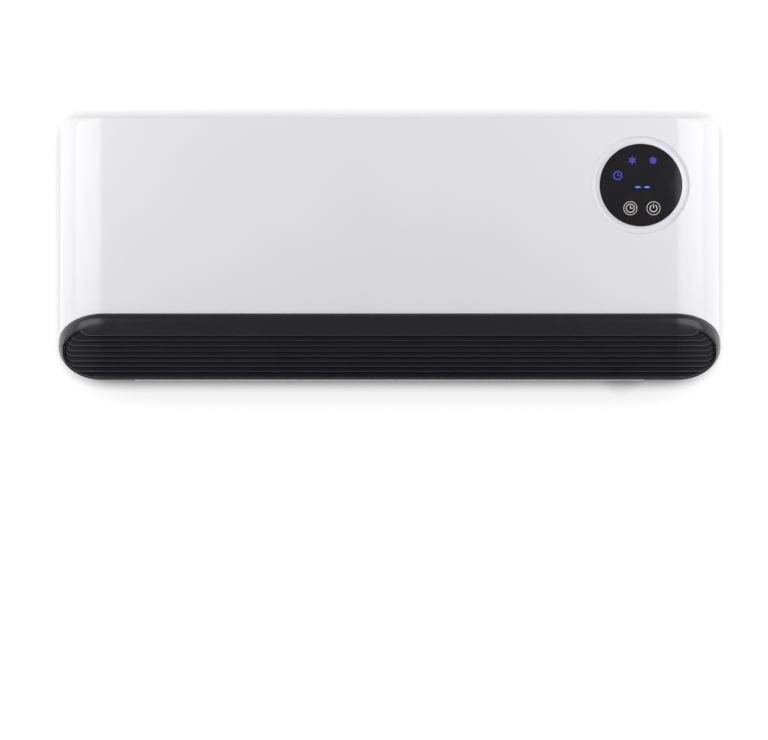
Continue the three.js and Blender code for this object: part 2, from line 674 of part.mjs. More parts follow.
// The filter hangs under the bars: a fine net in a ribbed frame.
function filter() {
  const shrink = GAP + INLET_FRAME + GAP;
  const top = INLET_TOP - INLET_BAR_PLATE - GAP;
  const frame = cut(
    inletBox(shrink, top - FILTER_THICKNESS, top),
    inletBox(shrink + FILTER_RIM, 0, top - FILTER_NET),
  );
  const notch = rod("Z", FINGER_NOTCH + 2, 0, FAR, 0, INLET_FRONT - FINGER_NOTCH / 3, 20);
  const length = 2 * (INLET_HALF_WIDTH - shrink);
  const ribs = spread(FILTER_RIBS, length / (FILTER_RIBS + 1)).map((x) =>
    box(x - 1, x + 1, INLET_FRONT + shrink + 1, INLET_REAR - shrink - 1, top - FILTER_THICKNESS, top - 0.1),
  );
  return cut(joined(frame, ribs), notch);
}

// ---------------------------------------------------------------------------------------------------
// Screws that hold the housings together, each in a boss of both
// ---------------------------------------------------------------------------------------------------
const SCREW_X = HALF_WIDTH - 23.4;
const SCREW_LEVELS = [68, BODY_HEIGHT - 27];
const SCREW_RADIUS = 1.6;
const SCREW_HEAD_RADIUS = 3.6;
const SCREW_HEAD = 2.4;
const SCREW_LENGTH = 16;
const SCREW_SEAT = -8; // plane the heads clamp on
const POST_RADIUS = 4.6;
const POST_FIT = 0.25; // round a screw's shank

function screwPlaces() {
  return SCREW_LEVELS.flatMap((z) => [-SCREW_X, SCREW_X].map((x) => [x, z]));
}

function housingScrew([x, z]) {
  const head = rod("Y", SCREW_HEAD_RADIUS, SCREW_SEAT + GAP, SCREW_SEAT + GAP + SCREW_HEAD, x, z);
  const shank = rod("Y", SCREW_RADIUS, SCREW_SEAT - SCREW_LENGTH, SCREW_SEAT + GAP + 0.1, x, z, 8);
  return joined(head, shank);
}

// ---------------------------------------------------------------------------------------------------
// Housings
// ---------------------------------------------------------------------------------------------------
const TONGUE_DEPTH = 6; // of the rear housing's edge inside the front one
const TONGUE_WALL = 1.8;
const KEYHOLE_HEAD = 5; // radius that a wall screw's head passes through
const KEYHOLE_SLOT = 2.6; // half width of the slot it slides up
const KEYHOLE_TRAVEL = 11;
const KEYHOLE_COVER = 7; // depth of the pocket behind each keyhole
const KEYHOLE_COVER_WALL = 1.6;
const GLAND_X = HALF_WIDTH - 77.4;
const GLAND_Y = -11;
const GLAND_HOLE = 5.2;
const REAR_RIB_HEIGHT = 5;
const REAR_RIBS = 5;
const REAR_RIB_SPACING = 44;

function frontHousing() {
  const shell = cut(casingForm(0, PART_LINE), casingForm(WALL, PART_LINE + 1));
  const foot = extruded("Y", grilleOutline(GAP), -FAR, GRILLE_BACK, 8);
  const lip = box(-LIP_HALF_WIDTH, LIP_HALF_WIDTH, LIP_FRONT, GRILLE_BACK + 1, 0, LIP_THICKNESS);
  const displayHole = rod("Z", BEZEL_RADIUS + GAP, -20, 20, 0, 0, DISPLAY_SIDES);
  const within = casingForm(WALL / 2, 0);
  const posts = screwPlaces().map(([x, z]) =>
    cut(
      rod("Y", POST_RADIUS, -FAR, SCREW_SEAT - BOSS_FLOOR - GAP, x, z).intersect(within),
      rod("Y", SCREW_RADIUS + POST_FIT, SCREW_SEAT - SCREW_LENGTH - 2, 0, x, z, 8),
    ),
  );
  const walls = joined(cut(shell, foot), lip, inletWell(), displayCollar(), switchDish(WALL), posts);
  const recesses = [inletBox(0, WELL_FLOOR, FAR), moved(displayHole, displayFrame()), switchDish(0)];
  return cut(walls, ...recesses, switchHole());
}

const BOSS_FLOOR = 3; // under a screw's head
const BOSS_WALL = 1.6;
const GLAND_FIT = 0.1; // more than the gap, since the round hole has few facets

function rearHousing() {
  const back = PART_LINE + GAP;
  const outer = trimmed(casingForm(REAR_INSET, 0), back, 0);
  const inner = trimmed(casingForm(REAR_INSET + WALL, 0), back - 1, -WALL);
  const tongueOut = trimmed(casingForm(WALL + GAP, 0), PART_LINE - TONGUE_DEPTH, back + 1);
  const tongueIn = trimmed(casingForm(WALL + GAP + TONGUE_WALL, 0), PART_LINE - TONGUE_DEPTH - 1, -WALL);
  const bosses = screwPlaces().map(([x, z]) =>
    rod("Y", POST_RADIUS + BOSS_WALL, SCREW_SEAT - BOSS_FLOOR, -0.5, x, z),
  );
  const bores = screwPlaces().flatMap(([x, z]) => [
    rod("Y", SCREW_RADIUS + POST_FIT, -FAR, 1, x, z, 8),
    rod("Y", SCREW_HEAD_RADIUS + 0.6, SCREW_SEAT, 1, x, z),
  ]);
  const tongue = cut(tongueOut, tongueIn);
  const pegs = boardPegs();
  const shell = joined(cut(joined(outer, tongue), inner, tongueIn), bosses, keyholes(1), rearRibs(), pegs);
  return cut(shell, bores, keyholes(0), rod("Z", GLAND_HOLE + GLAND_FIT, -1, 20, GLAND_X, GLAND_Y, 14));
}

// Keeps what lies between two planes across Y.
function trimmed(body, y0, y1) {
  return body.intersect(box(-FAR, FAR, y0, y1, -FAR, FAR));
}

// The two keyholes as tools: their openings, or with covers the pockets round them.
function keyholes(covers) {
  return [-KEYHOLE_SPACING / 2, KEYHOLE_SPACING / 2].flatMap((x) => {
    const bottom = HANG_HEIGHT - KEYHOLE_TRAVEL;
    if (covers) {
      const grow = KEYHOLE_HEAD + KEYHOLE_COVER_WALL + 1;
      const y0 = -WALL - KEYHOLE_COVER - KEYHOLE_COVER_WALL;
      return [box(x - grow, x + grow, y0, -WALL / 2, bottom - grow, HANG_HEIGHT + grow)];
    }
    const inner = KEYHOLE_HEAD + 1;
    return [
      rod("Y", KEYHOLE_HEAD, -WALL - 1, 1, x, bottom),
      box(x - KEYHOLE_SLOT, x + KEYHOLE_SLOT, -WALL - 1, 1, bottom, HANG_HEIGHT),
      rod("Y", KEYHOLE_SLOT, -WALL - 1, 1, x, HANG_HEIGHT, 12),
      box(x - inner, x + inner, -WALL - KEYHOLE_COVER, -WALL, bottom - inner, HANG_HEIGHT + inner),
    ];
  });
}

// Upright ribs that stiffen the back between the end plates.
function rearRibs() {
  return spread(REAR_RIBS, REAR_RIB_SPACING).map((x) =>
    box(x - 0.9, x + 0.9, -WALL - REAR_RIB_HEIGHT, -WALL / 2, 20, BODY_HEIGHT - 12),
  );
}

function moved(body, matrix) {
  return solid(geometryOf(body).applyMatrix4(matrix));
}

// ---------------------------------------------------------------------------------------------------
// Cross-flow fan, modelled round an axis along X through its own origin
// ---------------------------------------------------------------------------------------------------
const FAN_Y = -58;
const FAN_HEIGHT = 104;
const FAN_RADIUS = 30;
const FAN_INNER_RADIUS = 23; // inner edge of the blades
const FAN_HALF_LENGTH = HALF_WIDTH - END_SPACE;
const FAN_BLADES = 16;
const BLADE_THICKNESS = 1;
const BLADE_CAMBER = 2.2;
const DISC_THICKNESS = 1.6;
const DISC_BORE = 17; // of the middle discs
const MIDDLE_DISCS = 2;
const SHAFT_RADIUS = 2.5;
const RUNNING_FIT = 0.3;
const HUB_RADIUS = 8;
const HUB_FLANGE = 11;

// One blade's section, a thin curved plate, in the plane across the axis.
function bladeShape(angle) {
  const steps = 2;
  const near = [];
  const far = [];
  for (let k = 0; k <= steps; k++) {
    const t = k / steps;
    const radius = FAN_INNER_RADIUS + (FAN_RADIUS - FAN_INNER_RADIUS) * t;
    const bow = BLADE_CAMBER * (4 * t * (1 - t)) + BLADE_CAMBER * t;
    for (const [side, list] of [[-0.5, near], [0.5, far]]) {
      const across = bow + side * BLADE_THICKNESS;
      list.push([
        radius * Math.cos(angle) - across * Math.sin(angle),
        radius * Math.sin(angle) + across * Math.cos(angle),
      ]);
    }
  }
  return outline([...near, ...far.reverse()]);
}

function impeller() {
  const end = FAN_HALF_LENGTH;
  const blades = [];
  for (let i = 0; i < FAN_BLADES; i++) {
    const shape = bladeShape((2 * Math.PI * i) / FAN_BLADES);
    blades.push(extruded("X", shape, -end + DISC_THICKNESS / 2, end - DISC_THICKNESS / 2));
  }
  const reach = FAN_RADIUS + BLADE_CAMBER / 2;
  const endDisc = (x0, bore) =>
    cut(rod("X", reach, x0, x0 + DISC_THICKNESS, 0, 0, 24), rod("X", bore, -FAR, FAR, 0, 0, 14));
  const gap = (2 * end - DISC_THICKNESS) / (MIDDLE_DISCS + 1);
  const discs = spread(MIDDLE_DISCS, gap).map((x) => endDisc(x - DISC_THICKNESS / 2, DISC_BORE));
  return joined(
    endDisc(-end, HUB_RADIUS + RUNNING_FIT),
    endDisc(end - DISC_THICKNESS, SHAFT_RADIUS + RUNNING_FIT),
    discs,
    blades,
  );
}

const HUB_OUTER_X = -FAN_HALF_LENGTH - 5;
const HUB_INNER_X = -FAN_HALF_LENGTH + 8;

function impellerHub() {
  const bore = SHAFT_RADIUS + RUNNING_FIT;
  const face = -FAN_HALF_LENGTH - GAP;
  return turned("X", [
    [bore, HUB_OUTER_X],
    [HUB_RADIUS, HUB_OUTER_X],
    [HUB_FLANGE, HUB_OUTER_X + 1.6],
    [HUB_FLANGE, face],
    [HUB_RADIUS, face],
    [HUB_RADIUS, HUB_INNER_X],
    [bore, HUB_INNER_X],
    [bore, HUB_OUTER_X],
  ]);
}

const PLATE_X = FAN_HALF_LENGTH + 6; // inner face of each end plate
const PLATE_THICKNESS = 2;
const BUSH_HALF_LENGTH = 3;
const BUSH_RADIUS = 6;
const BEARING_RADIUS = 11.5; // of the rubber mount where it passes the end plate
const BEARING_FLANGE = 14;
const BEARING_HOLE = 12; // in the end plate
const BUSH_MIDDLE = PLATE_X + PLATE_THICKNESS / 2;
const STUB_END = BUSH_MIDDLE + BUSH_HALF_LENGTH + 3;

function stubShaft() {
  const face = FAN_HALF_LENGTH + GAP;
  return turned("X", [
    [0, FAN_HALF_LENGTH - 6],
    [SHAFT_RADIUS, FAN_HALF_LENGTH - 6],
    [SHAFT_RADIUS, face],
    [SHAFT_RADIUS * 2.4, face],
    [SHAFT_RADIUS * 2.4, face + 1.4],
    [SHAFT_RADIUS, face + 1.4],
    [SHAFT_RADIUS, STUB_END - 0.6],
    [SHAFT_RADIUS - 0.6, STUB_END],
    [0, STUB_END],
  ]);
}

function fanBearing() {
  const bore = SHAFT_RADIUS + RUNNING_FIT;
  const [x0, x1] = [BUSH_MIDDLE - BUSH_HALF_LENGTH, BUSH_MIDDLE + BUSH_HALF_LENGTH];
  return turned("X", [
    [bore, x0],
    [BUSH_RADIUS - 0.8, x0],
    [BUSH_RADIUS, x0 + 0.8],
    [BUSH_RADIUS, x1 - 0.8],
    [BUSH_RADIUS - 0.8, x1],
    [bore, x1],
    [bore, x0],
  ]);
}

function bearingMount() {
  const bore = BUSH_RADIUS + GAP;
  const [in0, out0] = [PLATE_X - GAP, PLATE_X + PLATE_THICKNESS + GAP];
  const flange = 1.3;
  return turned("X", [
    [bore, in0 - flange],
    [BEARING_FLANGE, in0 - flange],
    [BEARING_FLANGE, in0],
    [BEARING_RADIUS, in0],
    [BEARING_RADIUS, out0],
    [BEARING_FLANGE, out0],
    [BEARING_FLANGE, out0 + flange],
    [bore, out0 + flange],
    [bore, in0 - flange],
  ]);
}

// ---------------------------------------------------------------------------------------------------
// Shaded-pole motor on the left-hand end plate, round the same axis
// ---------------------------------------------------------------------------------------------------
const MOTOR_STAND_OFF = 6; // from the end plate to the motor's inner bracket
const BRACKET_THICKNESS = 2;
const BRACKET_REACH = 8; // from a bracket's middle to the stack's face
const BRACKET_HEIGHT = 15;
const BRACKET_FIT = 0.4; // round the shaft
const STACK_THICKNESS = 16;
const STACK_WIDTH = 50;
const STACK_ABOVE = 22; // above the axis
const STACK_BELOW = 44;
const STACK_LIMB = 11; // width of the limb inside the coil
const STACK_WINDOW = 13; // height of the window above that limb
const STACK_SIDE = 10;
const ROTOR_RADIUS = 12.5;
const AIR_GAP = 0.7;
const COIL_WALL = 7; // thickness of the winding round its limb
const COIL_FLANGE = 1.4;
const BOSS_RADIUS = 6.5; // of the bracket's bearing boss
const BOSS_DEPTH = 6;
const MOUNT_POST_RADIUS = 4.5;

const BRACKET_INNER_X = -PLATE_X - PLATE_THICKNESS - MOTOR_STAND_OFF - GAP;
const STACK_RIGHT = BRACKET_INNER_X - BRACKET_REACH - GAP;
const STACK_LEFT = STACK_RIGHT - STACK_THICKNESS;
const BRACKET_OUTER_X = STACK_LEFT - GAP - BRACKET_REACH;
const MOUNT_POST_Y = STACK_WIDTH / 2 - STACK_SIDE / 2;

function statorStack() {
  const half = STACK_WIDTH / 2;
  const frame = box(STACK_LEFT, STACK_RIGHT, -half, half, -STACK_BELOW, STACK_ABOVE);
  const windowTop = -STACK_BELOW + STACK_LIMB + STACK_WINDOW;
  const side = half - STACK_SIDE;
  const corner = rod("X", 3, -FAR, FAR, 0, 0, 8);
  const bore = rod("X", ROTOR_RADIUS + AIR_GAP, -FAR, FAR, 0, 0, 20);
  const window = box(-FAR, FAR, -side, side, -STACK_BELOW + STACK_LIMB, windowTop);
  const slits = box(-FAR, FAR, -0.8, 0.8, windowTop - 1, -ROTOR_RADIUS + 1);
  const notches = [-half, half].map((y) => corner.translate([0, y, STACK_ABOVE]));
  return cut(frame, bore, window, slits, notches);
}

function motorCoil() {
  const window = STACK_WIDTH / 2 - STACK_SIDE - GAP;
  const [z0, z1] = [-STACK_BELOW - COIL_WALL, -STACK_BELOW + STACK_LIMB + COIL_WALL];
  const grow = COIL_WALL + GAP;
  const wound = window - COIL_FLANGE;
  const winding = box(STACK_LEFT - grow, STACK_RIGHT + grow, -wound, wound, z0, z1);
  const rim = COIL_FLANGE / 2;
  const flange = (y) => box(STACK_LEFT - grow - 1, STACK_RIGHT + grow + 1, y - rim, y + rim, z0 - 1, z1 + 1);
  const [low, high] = [-STACK_BELOW - GAP, -STACK_BELOW + STACK_LIMB + GAP];
  const limb = box(STACK_LEFT - GAP, STACK_RIGHT + GAP, -FAR, FAR, low, high);
  return cut(joined(winding, flange(-window + rim), flange(window - rim)), limb);
}

function motorRotor() {
  const bore = SHAFT_RADIUS + RUNNING_FIT;
  return turned(
    "X",
    [
      [bore, STACK_LEFT - 1],
      [ROTOR_RADIUS - 1.4, STACK_LEFT - 1],
      [ROTOR_RADIUS, STACK_LEFT + 0.6],
      [ROTOR_RADIUS, STACK_RIGHT - 0.6],
      [ROTOR_RADIUS - 1.4, STACK_RIGHT + 1],
      [bore, STACK_RIGHT + 1],
      [bore, STACK_LEFT - 1],
    ],
    18,
  );
}

const SHAFT_END_X = BRACKET_OUTER_X - BRACKET_THICKNESS - 3;

function motorShaft() {
  const tip = 0.6;
  return turned(
    "X",
    [
      [0, SHAFT_END_X],
      [SHAFT_RADIUS - tip, SHAFT_END_X],
      [SHAFT_RADIUS, SHAFT_END_X + tip],
      [SHAFT_RADIUS, HUB_INNER_X - tip],
      [SHAFT_RADIUS - tip, HUB_INNER_X],
      [0, HUB_INNER_X],
    ],
    14,
  );
}

// A pressed bridge over the rotor with a bearing boss. toStack is +1 or -1, the way its feet point.
function motorBracket(middleX, toStack) {
  const half = STACK_WIDTH / 2;
  const t = BRACKET_THICKNESS;
  const out = [
    [0, -half],
    [0, half],
    [BRACKET_REACH, half],
    [BRACKET_REACH, half - STACK_SIDE + 1],
    [BRACKET_REACH - t, half - STACK_SIDE + 1],
    [BRACKET_REACH - t, half - t],
    [t, half - t - 1],
    [t, -half + t + 1],
    [BRACKET_REACH - t, -half + t],
    [BRACKET_REACH - t, -half + STACK_SIDE - 1],
    [BRACKET_REACH, -half + STACK_SIDE - 1],
    [BRACKET_REACH, -half],
  ].map(([x, y]) => [middleX + x * toStack, y]);
  const bridge = extruded("Z", outline(out), -BRACKET_HEIGHT / 2, BRACKET_HEIGHT / 2);
  const [b0, b1] = [middleX, middleX + toStack * BOSS_DEPTH].sort((a, b) => a - b);
  const boss = rod("X", BOSS_RADIUS, b0, b1);
  return cut(joined(bridge, boss), rod("X", SHAFT_RADIUS + BRACKET_FIT, -FAR, FAR));
}

// ---------------------------------------------------------------------------------------------------
// Air path: two end plates, the scroll behind the fan and the stabiliser in front of it
// ---------------------------------------------------------------------------------------------------
const PLATE_FOOT = 6.5;
const PLATE_TOP = BODY_HEIGHT - 17;
const SHEET = 1.2; // thickness of the scroll and the stabiliser
const SCROLL_START = 33.5; // its distance from the axis where it comes nearest the fan
const SCROLL_GROWTH = 9; // over the next hundred degrees
const OUTLET_FLOOR = 5.6;
const TONGUE_CLEARANCE = 2.6; // between the stabiliser's edge and the fan

function endPlate(x0, openings) {
  const face = (z) => frontY(z) + WALL + 4.5;
  const grilleBack = (z) => [grilleY(0, z) + RETURN_DEPTH + GAP, z];
  const shelfBack = grilleY(0, GRILLE_TOP) + SHELF_DEPTH + 1;
  const points = [
    [-WALL - GAP, PLATE_TOP],
    [-WALL - GAP, PLATE_FOOT],
    grilleBack(PLATE_FOOT),
    grilleBack(16),
    grilleBack(28),
    grilleBack(OPENING_TOP + FLANGE_WALL + GAP),
    [shelfBack, GRILLE_TOP - 7],
    [shelfBack, GRILLE_TOP + 7],
    [face(FAN_HEIGHT + 6), FAN_HEIGHT + 6],
    [face(FAN_HEIGHT) + 4, FAN_HEIGHT + 46],
    [-88, PLATE_TOP],
  ];
  return cut(extruded("X", outline(points), x0, x0 + PLATE_THICKNESS), ...openings);
}

function leftPlate() {
  const x0 = -PLATE_X - PLATE_THICKNESS;
  const axisHole = rod("X", HUB_RADIUS + 2, -FAR, FAR, FAN_Y, FAN_HEIGHT, 14);
  const posts = [-MOUNT_POST_Y, MOUNT_POST_Y].map((y) =>
    rod("X", MOUNT_POST_RADIUS, BRACKET_INNER_X + GAP, x0 + 0.5, FAN_Y + y, FAN_HEIGHT),
  );
  return joined(endPlate(x0, [axisHole]), posts);
}

function rightPlate() {
  const mountHole = rod("X", BEARING_HOLE, -FAR, FAR, FAN_Y, FAN_HEIGHT, 18);
  const heaterSlot = inHeater(box(PLATE_X - 1, PLATE_X + PLATE_THICKNESS + 1, -19, 19, -4.5, 4.5));
  return endPlate(PLATE_X, [mountHole, heaterSlot]);
}

function scroll() {
  const line = [
    [-19.5, PLATE_TOP - 2],
    [-21, 165],
    [-29.5, 138],
  ];
  for (let degrees = 36; degrees >= -42; degrees -= 13) {
    const radius = SCROLL_START + (SCROLL_GROWTH * (40 - degrees)) / 100;
    const angle = (degrees * Math.PI) / 180;
    line.push([FAN_Y + radius * Math.cos(angle), FAN_HEIGHT + radius * Math.sin(angle)]);
  }
  const outletY = grilleY(0, OUTLET_FLOOR) + RETURN_DEPTH + GAP;
  line.push([-34, 50], [-41, 30], [-52, 15], [-68, 7.5], [-82, OUTLET_FLOOR], [outletY, OUTLET_FLOOR]);
  return bentSheet(line, SHEET, -PLATE_X + GAP, PLATE_X - GAP);
}

function stabiliser() {
  const radius = FAN_RADIUS + BLADE_CAMBER / 2 + TONGUE_CLEARANCE;
  const angle = (211 * Math.PI) / 180;
  const tip = [FAN_Y + radius * Math.cos(angle), FAN_HEIGHT + radius * Math.sin(angle)];
  const seat = OPENING_TOP + FLANGE_WALL + GAP + SHEET / 3;
  const front = [
    [frontY(GRILLE_TOP + 18) + 12, GRILLE_TOP + 18],
    [frontY(GRILLE_TOP + 4) + 8, GRILLE_TOP + 4],
    [frontY(seat) + 6, seat],
  ];
  const line = [[tip[0] + 0.5, tip[1] - 5], tip, [tip[0] - 5, tip[1] - 1], ...front];
  return bentSheet(line, SHEET, -PLATE_X + GAP, PLATE_X - GAP);
}

// ---------------------------------------------------------------------------------------------------
// Ceramic heating element across the duct. Its own frame has +Y down the slant and +Z back up the flow.
// ---------------------------------------------------------------------------------------------------
const HEATER_Y = -73.5;
const HEATER_HEIGHT = 43;
const HEATER_SLANT = 35; // degrees
const FIN_ROWS = 3;
const FIN_ROW_HEIGHT = 12;
const FIN_DEPTH = 15;
const FIN_PLEATS = 17;
const FIN_SHEET = 0.8;
const TUBE_HEIGHT = 4;
const HEATER_SIDE = 2.4; // thickness of the frame's two long rails
const HOLDER_LENGTH = 15;
const TERMINALS = 3;
const TERMINAL_SPACING = 14;
const TERMINAL_WIDTH = 6.3;
const TERMINAL_THICKNESS = 0.8;
const TERMINAL_REACH = 13; // beyond the end plate

const HOLDER_OUTER = PLATE_X - GAP;
const HOLDER_INNER = HOLDER_OUTER - HOLDER_LENGTH;
const FIN_HALF_LENGTH = HOLDER_INNER - GAP;
const ROW_PITCH = FIN_ROW_HEIGHT + TUBE_HEIGHT + 2 * GAP;
const STACK_HALF = (FIN_ROWS * FIN_ROW_HEIGHT + (FIN_ROWS - 1) * (TUBE_HEIGHT + 2 * GAP)) / 2;

function heaterFrame() {
  return new THREE.Matrix4()
    .makeRotationX((-HEATER_SLANT * Math.PI) / 180)
    .setPosition(0, HEATER_Y, HEATER_HEIGHT);
}

function inHeater(body) {
  return moved(body, heaterFrame());
}

// One row of pleated aluminium fins.
function finRow(y) {
  const half = FIN_ROW_HEIGHT / 2 - FIN_SHEET / 2;
  const pleat = (2 * (FIN_HALF_LENGTH - 1)) / (2 * FIN_PLEATS);
  const line = Array.from({ length: 2 * FIN_PLEATS + 1 }, (_, i) => [
    -FIN_HALF_LENGTH + 1 + i * pleat,
    y + (i % 2 ? half : -half),
  ]);
  const shift = FIN_SHEET / 2;
  const lower = line.map(([x, level]) => [x, level - shift]);
  const upper = line.map(([x, level]) => [x, level + shift]).reverse();
  return extruded("Z", outline([...lower, ...upper]), -FIN_DEPTH / 2, FIN_DEPTH / 2);
}

function ceramicTube(y) {
  const half = FIN_HALF_LENGTH;
  const depth = FIN_DEPTH / 2 - 0.5;
  return box(-half, half, y - TUBE_HEIGHT / 2, y + TUBE_HEIGHT / 2, -depth, depth);
}

function heaterRail(side) {
  const inner = STACK_HALF + GAP;
  const [y0, y1] = side > 0 ? [inner, inner + HEATER_SIDE] : [-inner - HEATER_SIDE, -inner];
  const half = FIN_HALF_LENGTH;
  return box(-half, half, y0, y1, -FIN_DEPTH / 2, FIN_DEPTH / 2);
}

// The plastic end holder, a cap round the element's end.
function heaterHolder(side) {
  const outerY = STACK_HALF + GAP + HEATER_SIDE + 1.6;
  const outerZ = FIN_DEPTH / 2 + 1.6;
  const [x0, x1] = side > 0 ? [HOLDER_INNER, HOLDER_OUTER] : [-HOLDER_OUTER, -HOLDER_INNER];
  const block = box(x0, x1, -outerY, outerY, -outerZ, outerZ);
  const recessX = side > 0 ? [x0 + 4, x1 - 3] : [x0 + 3, x1 - 4];
  const recess = box(...recessX, -outerY + 3, outerY - 3, 0, FAR);
  const slots = side > 0 ? terminalPlaces().map((y) => terminal(y, GAP)) : [];
  return cut(block, recess, ...slots);
}

function terminalPlaces() {
  return spread(TERMINALS, TERMINAL_SPACING);
}

function terminal(y, grow = 0) {
  const half = TERMINAL_WIDTH / 2 + grow;
  const thick = TERMINAL_THICKNESS / 2 + grow;
  const end = PLATE_X + PLATE_THICKNESS + TERMINAL_REACH;
  const blade = box(HOLDER_INNER + 8, end, y - half, y + half, -2 - thick, -2 + thick);
  return grow ? blade : cut(blade, rod("Z", 1.1, -9, 9, end - 5, y, 10));
}

function heatingGroup() {
  const group = new THREE.Group();
  group.applyMatrix4(heaterFrame());
  spread(FIN_ROWS, ROW_PITCH).forEach((y, i) => place(group, `heater_fins_${i + 1}`, "aluminium", finRow(y)));
  spread(FIN_ROWS - 1, ROW_PITCH).forEach((y, i) =>
    place(group, `heater_tube_${i + 1}`, "ceramic_white", ceramicTube(y)),
  );
  place(group, "heater_rail_upper", "aluminium", heaterRail(-1));
  place(group, "heater_rail_lower", "aluminium", heaterRail(1));
  place(group, "heater_holder_left", "grey_plastic", heaterHolder(-1));
  place(group, "heater_holder_right", "grey_plastic", heaterHolder(1));
  terminalPlaces().forEach((y, i) => place(group, `heater_terminal_${i + 1}`, "bright_steel", terminal(y)));
  return group;
}

// ---------------------------------------------------------------------------------------------------
// Safety parts on the right-hand end plate's outer side, and the power board beside it
// ---------------------------------------------------------------------------------------------------
const PLATE_OUTSIDE = PLATE_X + PLATE_THICKNESS + GAP;
const BOARD_LEFT = PLATE_X + 20;
const BOARD_RIGHT = HALF_WIDTH - 11.4;
const BOARD_LOW = SCREW_LEVELS[0] + 14;
const BOARD_HIGH = BODY_HEIGHT - 39;
const BOARD_STAND_OFF = 7.5; // of the power board from the rear housing
const BOARD_HOLE_INSET = 5;

const BOARD_BACK = -WALL - BOARD_STAND_OFF - GAP;
const BOARD_FACE = BOARD_BACK - BOARD_THICKNESS;

function thermalCutout() {
  const [y, z] = [-89, 82];
  const base = rod("X", 8.5, PLATE_OUTSIDE, PLATE_OUTSIDE + 3, y, z, 14);
  const cap = rod("X", 7, PLATE_OUTSIDE + 2.5, PLATE_OUTSIDE + 9, y, z, 14);
  const blades = [-4, 4].map((dz) =>
    box(PLATE_OUTSIDE + 8, PLATE_OUTSIDE + 16, y - 3.1, y + 3.1, z + dz - 0.4, z + dz + 0.4),
  );
  return joined(base, cap, blades);
}

function thermalFuse() {
  const [y, z] = [-66, 70];
  const clip = box(PLATE_OUTSIDE, PLATE_OUTSIDE + 3, y - 3, y + 3, z - 4, z + 4);
  const fuse = rod("Z", 2, z - 7, z + 7, PLATE_OUTSIDE + 3.6, y, 12);
  const leads = rod("Z", 0.6, z - 13, z + 13, PLATE_OUTSIDE + 3.6, y, 8);
  return joined(clip, fuse, leads);
}

function airSensor() {
  const [y, z] = [-46, BODY_HEIGHT - 35];
  const clip = box(PLATE_OUTSIDE, PLATE_OUTSIDE + 4, y - 4, y + 4, z - 3, z + 3);
  const bead = rod("X", 2.2, PLATE_OUTSIDE + 3, PLATE_OUTSIDE + 11, y, z, 12);
  return joined(clip, bead);
}

function boardCorners() {
  const inset = BOARD_HOLE_INSET;
  return [BOARD_LEFT + inset, BOARD_RIGHT - inset].flatMap((x) =>
    [BOARD_LOW + inset, BOARD_HIGH - inset].map((z) => [x, z]),
  );
}

// The rear housing's pegs for the power board: a shoulder and a pin through the board.
function boardPegs() {
  return boardCorners().flatMap(([x, z]) => [
    rod("Y", 3.4, -WALL - BOARD_STAND_OFF, -WALL / 2, x, z, 8),
    rod("Y", 1.5, BOARD_FACE - 2, -WALL, x, z, 6),
  ]);
}

function powerBoard() {
  const board = box(BOARD_LEFT, BOARD_RIGHT, BOARD_FACE, BOARD_BACK, BOARD_LOW, BOARD_HIGH);
  return cut(board, ...boardCorners().map(([x, z]) => rod("Y", 1.5 + GAP, -FAR, FAR, x, z, 10)));
}

// The components' sizes and places on the board, from its left and lower edges
const RELAY_WIDTH = 19;
const RELAY_LENGTH = 28;
const RELAY_HEIGHT = 15;
const RELAY_FROM_LEFT = 8;
const RELAY_FROM_FOOT = 30;
const RELAY_PITCH = 23;
const CORE_WIDTH = 32; // of the transformer
const CORE_LENGTH = 24;
const CORE_HEIGHT = 18;
const CORE_FROM_LEFT = 10;
const CORE_FROM_FOOT = 66;
const WINDING_HEIGHT = 23;
const CAPACITOR_RADIUS = 7.6;
const CAPACITOR_HEIGHT = 22;
const CAPACITOR_FROM_LEFT = 72;
const CAPACITOR_FROM_FOOT = 48;
const BLOCK_WIDTH = 36; // of the terminal block
const BLOCK_LENGTH = 14;
const BLOCK_FROM_LEFT = 12;
const BLOCK_FROM_FOOT = 8;
const BLOCK_PITCH = 11;
const BLOCK_MOUTH = 6.8;

// A box of a component on the power board, from its corner, width, length and height.
function onPowerBoard(fromLeft, fromFoot, width, length, height) {
  const face = BOARD_FACE - GAP;
  const x = BOARD_LEFT + fromLeft;
  const z = BOARD_LOW + fromFoot;
  return box(x, x + width, face - height, face, z, z + length);
}

function relay(i) {
  const fromLeft = RELAY_FROM_LEFT + i * RELAY_PITCH;
  return onPowerBoard(fromLeft, RELAY_FROM_FOOT, RELAY_WIDTH, RELAY_LENGTH, RELAY_HEIGHT);
}

function terminalBlock() {
  const block = onPowerBoard(BLOCK_FROM_LEFT, BLOCK_FROM_FOOT, BLOCK_WIDTH, BLOCK_LENGTH, BLOCK_LENGTH);
  const [low, high] = [BLOCK_LENGTH - 2.8, 3.7]; // of the wire mouths over the board
  const half = BLOCK_MOUTH / 2;
  const middle = BOARD_LEFT + BLOCK_FROM_LEFT + BLOCK_WIDTH / 2;
  const foot = BOARD_LOW + BLOCK_FROM_FOOT;
  const front = BOARD_FACE - GAP;
  const openings = spread(3, BLOCK_PITCH).flatMap((x) => [
    box(middle + x - half, middle + x + half, front - low, front - high, foot - 1, foot + 8),
    rod("Y", 2.6, -FAR, front - low - 0.5, middle + x, foot + BLOCK_LENGTH - 4, 12),
  ]);
  return cut(block, ...openings);
}

function capacitor() {
  const face = BOARD_FACE - GAP;
  const [x, z] = [BOARD_LEFT + CAPACITOR_FROM_LEFT, BOARD_LOW + CAPACITOR_FROM_FOOT];
  return joined(
    rod("Y", CAPACITOR_RADIUS, face - CAPACITOR_HEIGHT + 2, face - 1, x, z, 14),
    rod("Y", CAPACITOR_RADIUS - 0.8, face - CAPACITOR_HEIGHT, face, x, z, 14),
  );
}

